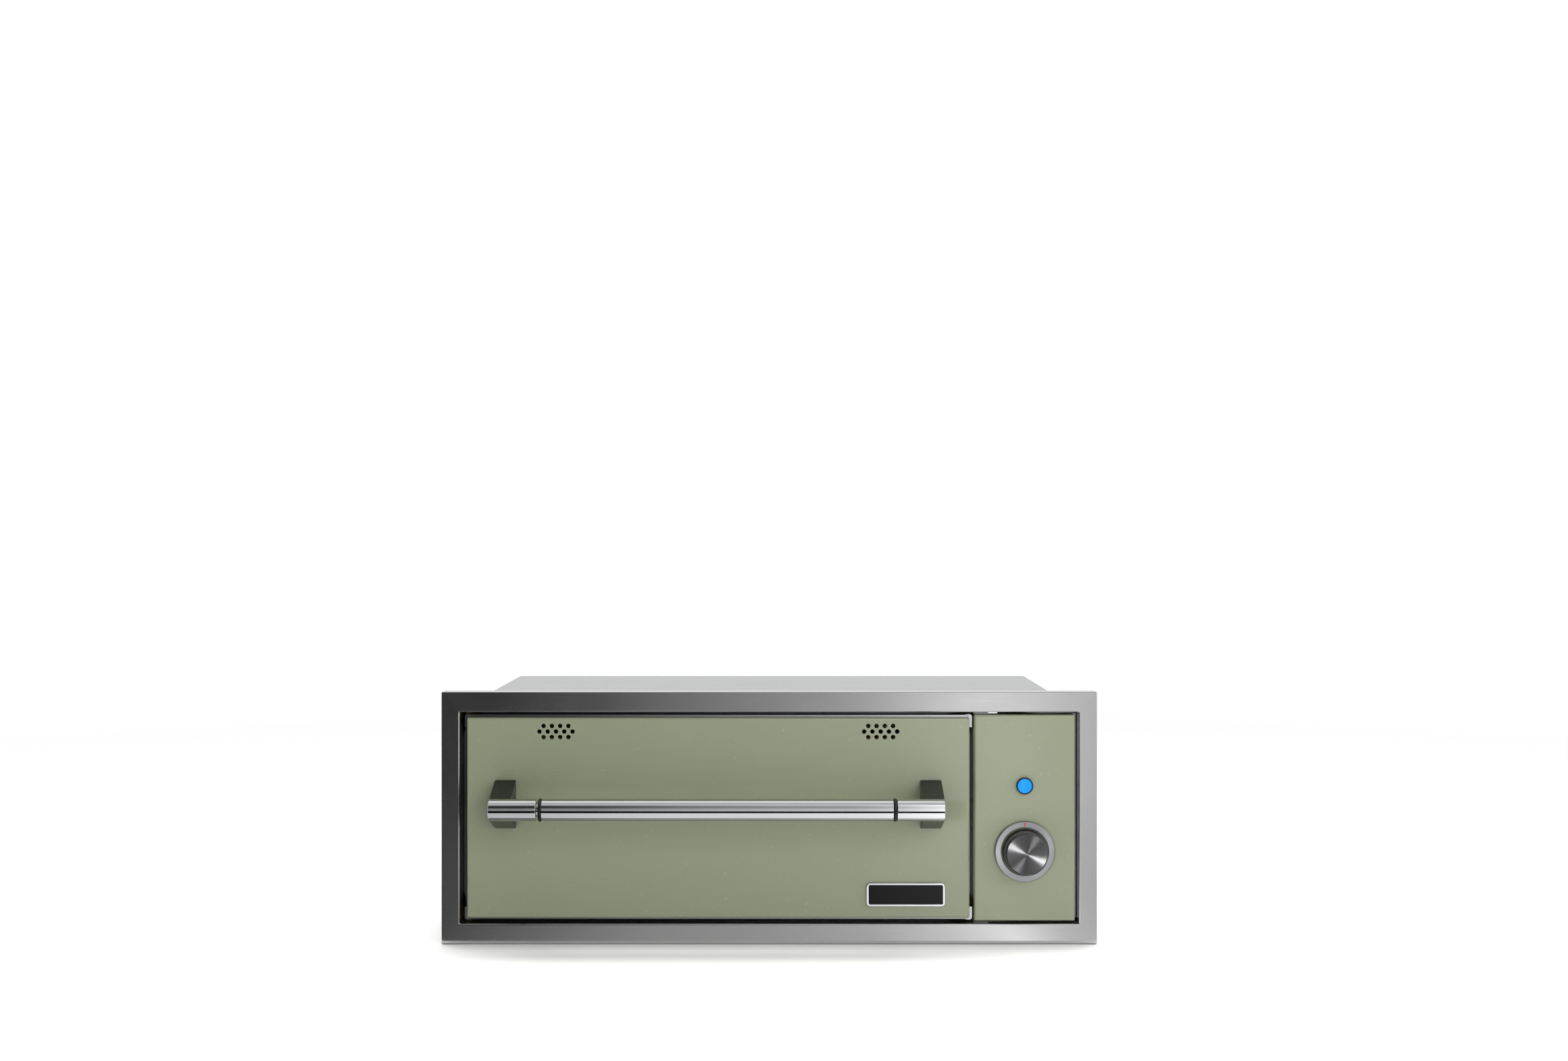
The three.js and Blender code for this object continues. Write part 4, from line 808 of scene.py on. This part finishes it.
def card(name, half, height_line, shine):
    """A card out of the picture that shows only in reflections. It spans half, the two ends of its width,
    along a line of (y, z), and shine is its grey steps from left to right over the drawer's width."""
    board = bpy.data.objects.new(name, bpy.data.meshes.new(name))
    corners = [(x, y, z) for y, z in height_line for x in half]
    board.data.from_pydata(
        corners, [], [(2 * i, 2 * i + 1, 2 * i + 3, 2 * i + 2) for i in range(len(height_line) - 1)])
    paper, tree = bare(name + "_paper")
    place = add(tree, "ShaderNodeSeparateXYZ",
                links={"Vector": add(tree, "ShaderNodeTexCoord").outputs["Object"]})
    along = add(tree, "ShaderNodeMapRange", {"From Min": -0.5, "From Max": 0.5},
                {"Value": place.outputs["X"]})
    grey = add(tree, "ShaderNodeValToRGB", links={"Fac": along.outputs[0]}, steps=shine)
    glow = add(tree, "ShaderNodeEmission", {"Strength": 2}, {"Color": grey.outputs["Color"]})
    add(tree, "ShaderNodeOutputMaterial", links={"Surface": glow.outputs[0]})
    board.data.materials.append(paper)
    scene.collection.objects.link(board)
    for ray in ("visible_camera", "visible_diffuse", "visible_shadow", "visible_transmission"):
        setattr(board, ray, False)


# Paper in front of the drawer, dark at the left and bright at the right, as the brushed steel shows it:
# one sheet lies on the floor, the next stands behind it.
PAPER_ENDS = (-2.5, 2.5)
card("graded_floor_paper", PAPER_ENDS, ((-0.273, 0.003), (-0.9, 0.003), (-1.0, 0.05)), [
    (0.0, 0.055), (0.10, 0.05), (0.22, 0.12), (0.36, 0.22), (0.50, 0.26), (0.62, 0.34), (0.72, 0.52),
    (0.79, 0.72), (0.85, 0.44), (0.93, 0.33), (1.0, 0.33)])
card("graded_standing_paper", PAPER_ENDS, ((-1.0, 0.05), (-1.0, 1.3)), [
    (0.0, 0.02), (0.12, 0.018), (0.25, 0.055), (0.36, 0.13), (0.50, 0.20), (0.62, 0.24), (0.70, 0.38),
    (0.78, 0.72), (0.86, 0.80), (0.92, 0.38), (1.0, 0.38)])
# A black flag just in front of the bar, which it mirrors as the dark line along its middle.
bar_front = row(0, middle(bar_y), bar_z[1])
flag_y = bar_front.y - 0.068
card("bar_flag", (-0.36, 0.24), ((flag_y, bar_front.z - 0.036), (flag_y, bar_front.z - 0.012)),
     [(0, 0.0), (1, 0.0)])

# The room: white to the camera; a soft grey in front, bright behind, overhead and at the far right.
world = bpy.data.worlds.new("studio")
scene.world = world
world.use_nodes = True
sky = world.node_tree
sky.nodes.clear()
toward = add(sky, "ShaderNodeTexCoord").outputs["Generated"]
parts = add(sky, "ShaderNodeSeparateXYZ", links={"Vector": toward})
side_place = add(sky, "ShaderNodeMapRange", {"From Min": -1, "From Max": 1}, {"Value": parts.outputs["X"]})
side_light = add(sky, "ShaderNodeValToRGB", links={"Fac": side_place.outputs[0]}, steps=[
    (0.0, 0.30), (0.25, 0.20), (0.5, 0.30), (0.7, 0.35), (0.80, 0.6), (0.88, 1.0), (1.0, 1.0)])
height_light = add(sky, "ShaderNodeMapRange", {"From Min": 0.5, "From Max": 1, "To Min": 1, "To Max": 1.7},
                   {"Value": parts.outputs["Z"]})
ahead = add(sky, "ShaderNodeMix", {"data_type": "RGBA", "blend_type": "MULTIPLY", 0: 1.0},
            {6: height_light.outputs[0], 7: side_light.outputs["Color"]})
behind = add(sky, "ShaderNodeMapRange", {"From Min": 0.0, "From Max": 0.25}, {"Value": parts.outputs["Y"]})
room = add(sky, "ShaderNodeMix", {"data_type": "RGBA", 7: (1, 1, 1, 1)},
           {0: behind.outputs[0], 6: ahead.outputs[2]})
lit = add(sky, "ShaderNodeBackground", {"Strength": 1}, {"Color": room.outputs[2]})
plain = add(sky, "ShaderNodeBackground", {"Color": (1, 1, 1, 1), "Strength": 1})
seen = add(sky, "ShaderNodeLightPath").outputs["Is Camera Ray"]
add(sky, "ShaderNodeOutputWorld", links={"Surface": add(
    sky, "ShaderNodeMixShader", links={0: seen, 1: lit.outputs[0], 2: plain.outputs[0]}).outputs[0]})


def lit_apart(name, *starts):
    """A group of the pieces whose names start so, for lights that are theirs alone."""
    group = bpy.data.collections.new(name)
    for obj in scene.objects:
        if obj.type == "MESH" and obj.name.startswith(starts):
            group.objects.link(obj)
    return group


bright_metal = lit_apart("handle_and_badge_rim", "handle_barrel", "handle_tube", "badge_rim")
knob_metal = lit_apart("spun_knob", "knob_turned")
bezel_metal = lit_apart("turned_bezel", "knob_bezel_ring")


def softbox(name, place, aim, width, height, radiance, mirrored=True, only=None):
    """A flat light of one radiance. A wash isn't mirrored in gloss; a mirrored one throws no glints
    from piece to piece, and may light only some pieces."""
    light = bpy.data.lights.new(name, "AREA")
    light.shape = "RECTANGLE"
    light.size, light.size_y = width, height
    light.energy = radiance * math.pi * width * height
    if mirrored:
        light.cycles.max_bounces = 0
    lamp = bpy.data.objects.new(name, light)
    lamp.location = place
    lamp.rotation_euler = (Vector(aim) - Vector(place)).to_track_quat("-Z", "Y").to_euler()
    lamp.visible_camera = False
    lamp.visible_glossy = mirrored
    if only:
        lamp.light_linking.receiver_collection = only
    scene.collection.objects.link(lamp)


softbox("overhead_softbox", (0.1, -0.2, 2.3), (0.1, -0.2, 0), 2.4, 1.0, 0.35)
softbox("overhead_wash", (0.0, -1.2, 2.6), (0, -0.6, 0), 2.4, 1.4, 0.6, mirrored=False)
softbox("rear_wash", (0.0, 0.4, 2.4), (0, -0.2, 0), 2.8, 1.4, 7.0, mirrored=False)
softbox("front_fill", (1.2, -3.4, 1.5), (0, -0.25, 0.15), 2.6, 2.0, 2.2, mirrored=False)
softbox("key_softbox", (1.5, -2.2, 1.5), (0.1, -0.25, 0.15), 0.6, 0.6, 4.0)
softbox("right_strip", (2.3, -1.0, 0.8), (0.2, -0.25, 0.15), 0.4, 1.5, 4.0)
knob_place = row(middle(knob_x), middle(knob_y), knob_z[1])
# Each lamp beside the knob shows on its spun face as two wedges, one towards it and one across from it.
softbox("knob_key", knob_place + Vector((0.8, -1.3, 1.0)), knob_place, 0.45, 0.35, 300.0, only=knob_metal)
softbox("knob_side", knob_place + Vector((-1.1, -1.3, 0.55)), knob_place, 0.35, 0.35, 140.0, only=knob_metal)
softbox("bezel_fan", knob_place + Vector((-0.15, -1.2, 1.1)), knob_place, 1.9, 0.4, 7.0, only=bezel_metal)

# Bands that the polished handle mirrors: the floor before it, a strip at eye height and one above.
handle_at = row(middle(bar_x), *bar_axis)


def handle_band(name, low, high, radiance, reach=0.62):
    """A strip seen from the handle between two heights in degrees."""
    rise = (low + high) / 2
    tall = 2 * reach * math.tan(math.radians((high - low) / 2))
    toward = Vector((0, -math.cos(math.radians(rise)), math.sin(math.radians(rise))))
    softbox(name, handle_at + toward * reach, handle_at, 2.6, tall, radiance, only=bright_metal)


handle_band("band_above", 48, 72, 0.28)
handle_band("band_high", 16, 27, 0.16)
handle_band("band_level", 1, 12, 0.5)
softbox("floor_before_handle", (handle_at.x, -0.50, 0.006), (handle_at.x, -0.50, 1), 1.1, 0.32, 0.55,
        only=bright_metal)

# ---- Camera: level, 2.53 m in front of the trim, on a 50 mm lens ----

lens = bpy.data.cameras.new("camera")
lens.lens, lens.sensor_width = 50, 36
camera = bpy.data.objects.new("camera", lens)
camera.location = (0.0172, TRIM_FACE * MM - 2.528, 0.4806)
camera.rotation_euler = (math.radians(90), 0, 0)
scene.collection.objects.link(camera)
scene.camera = camera
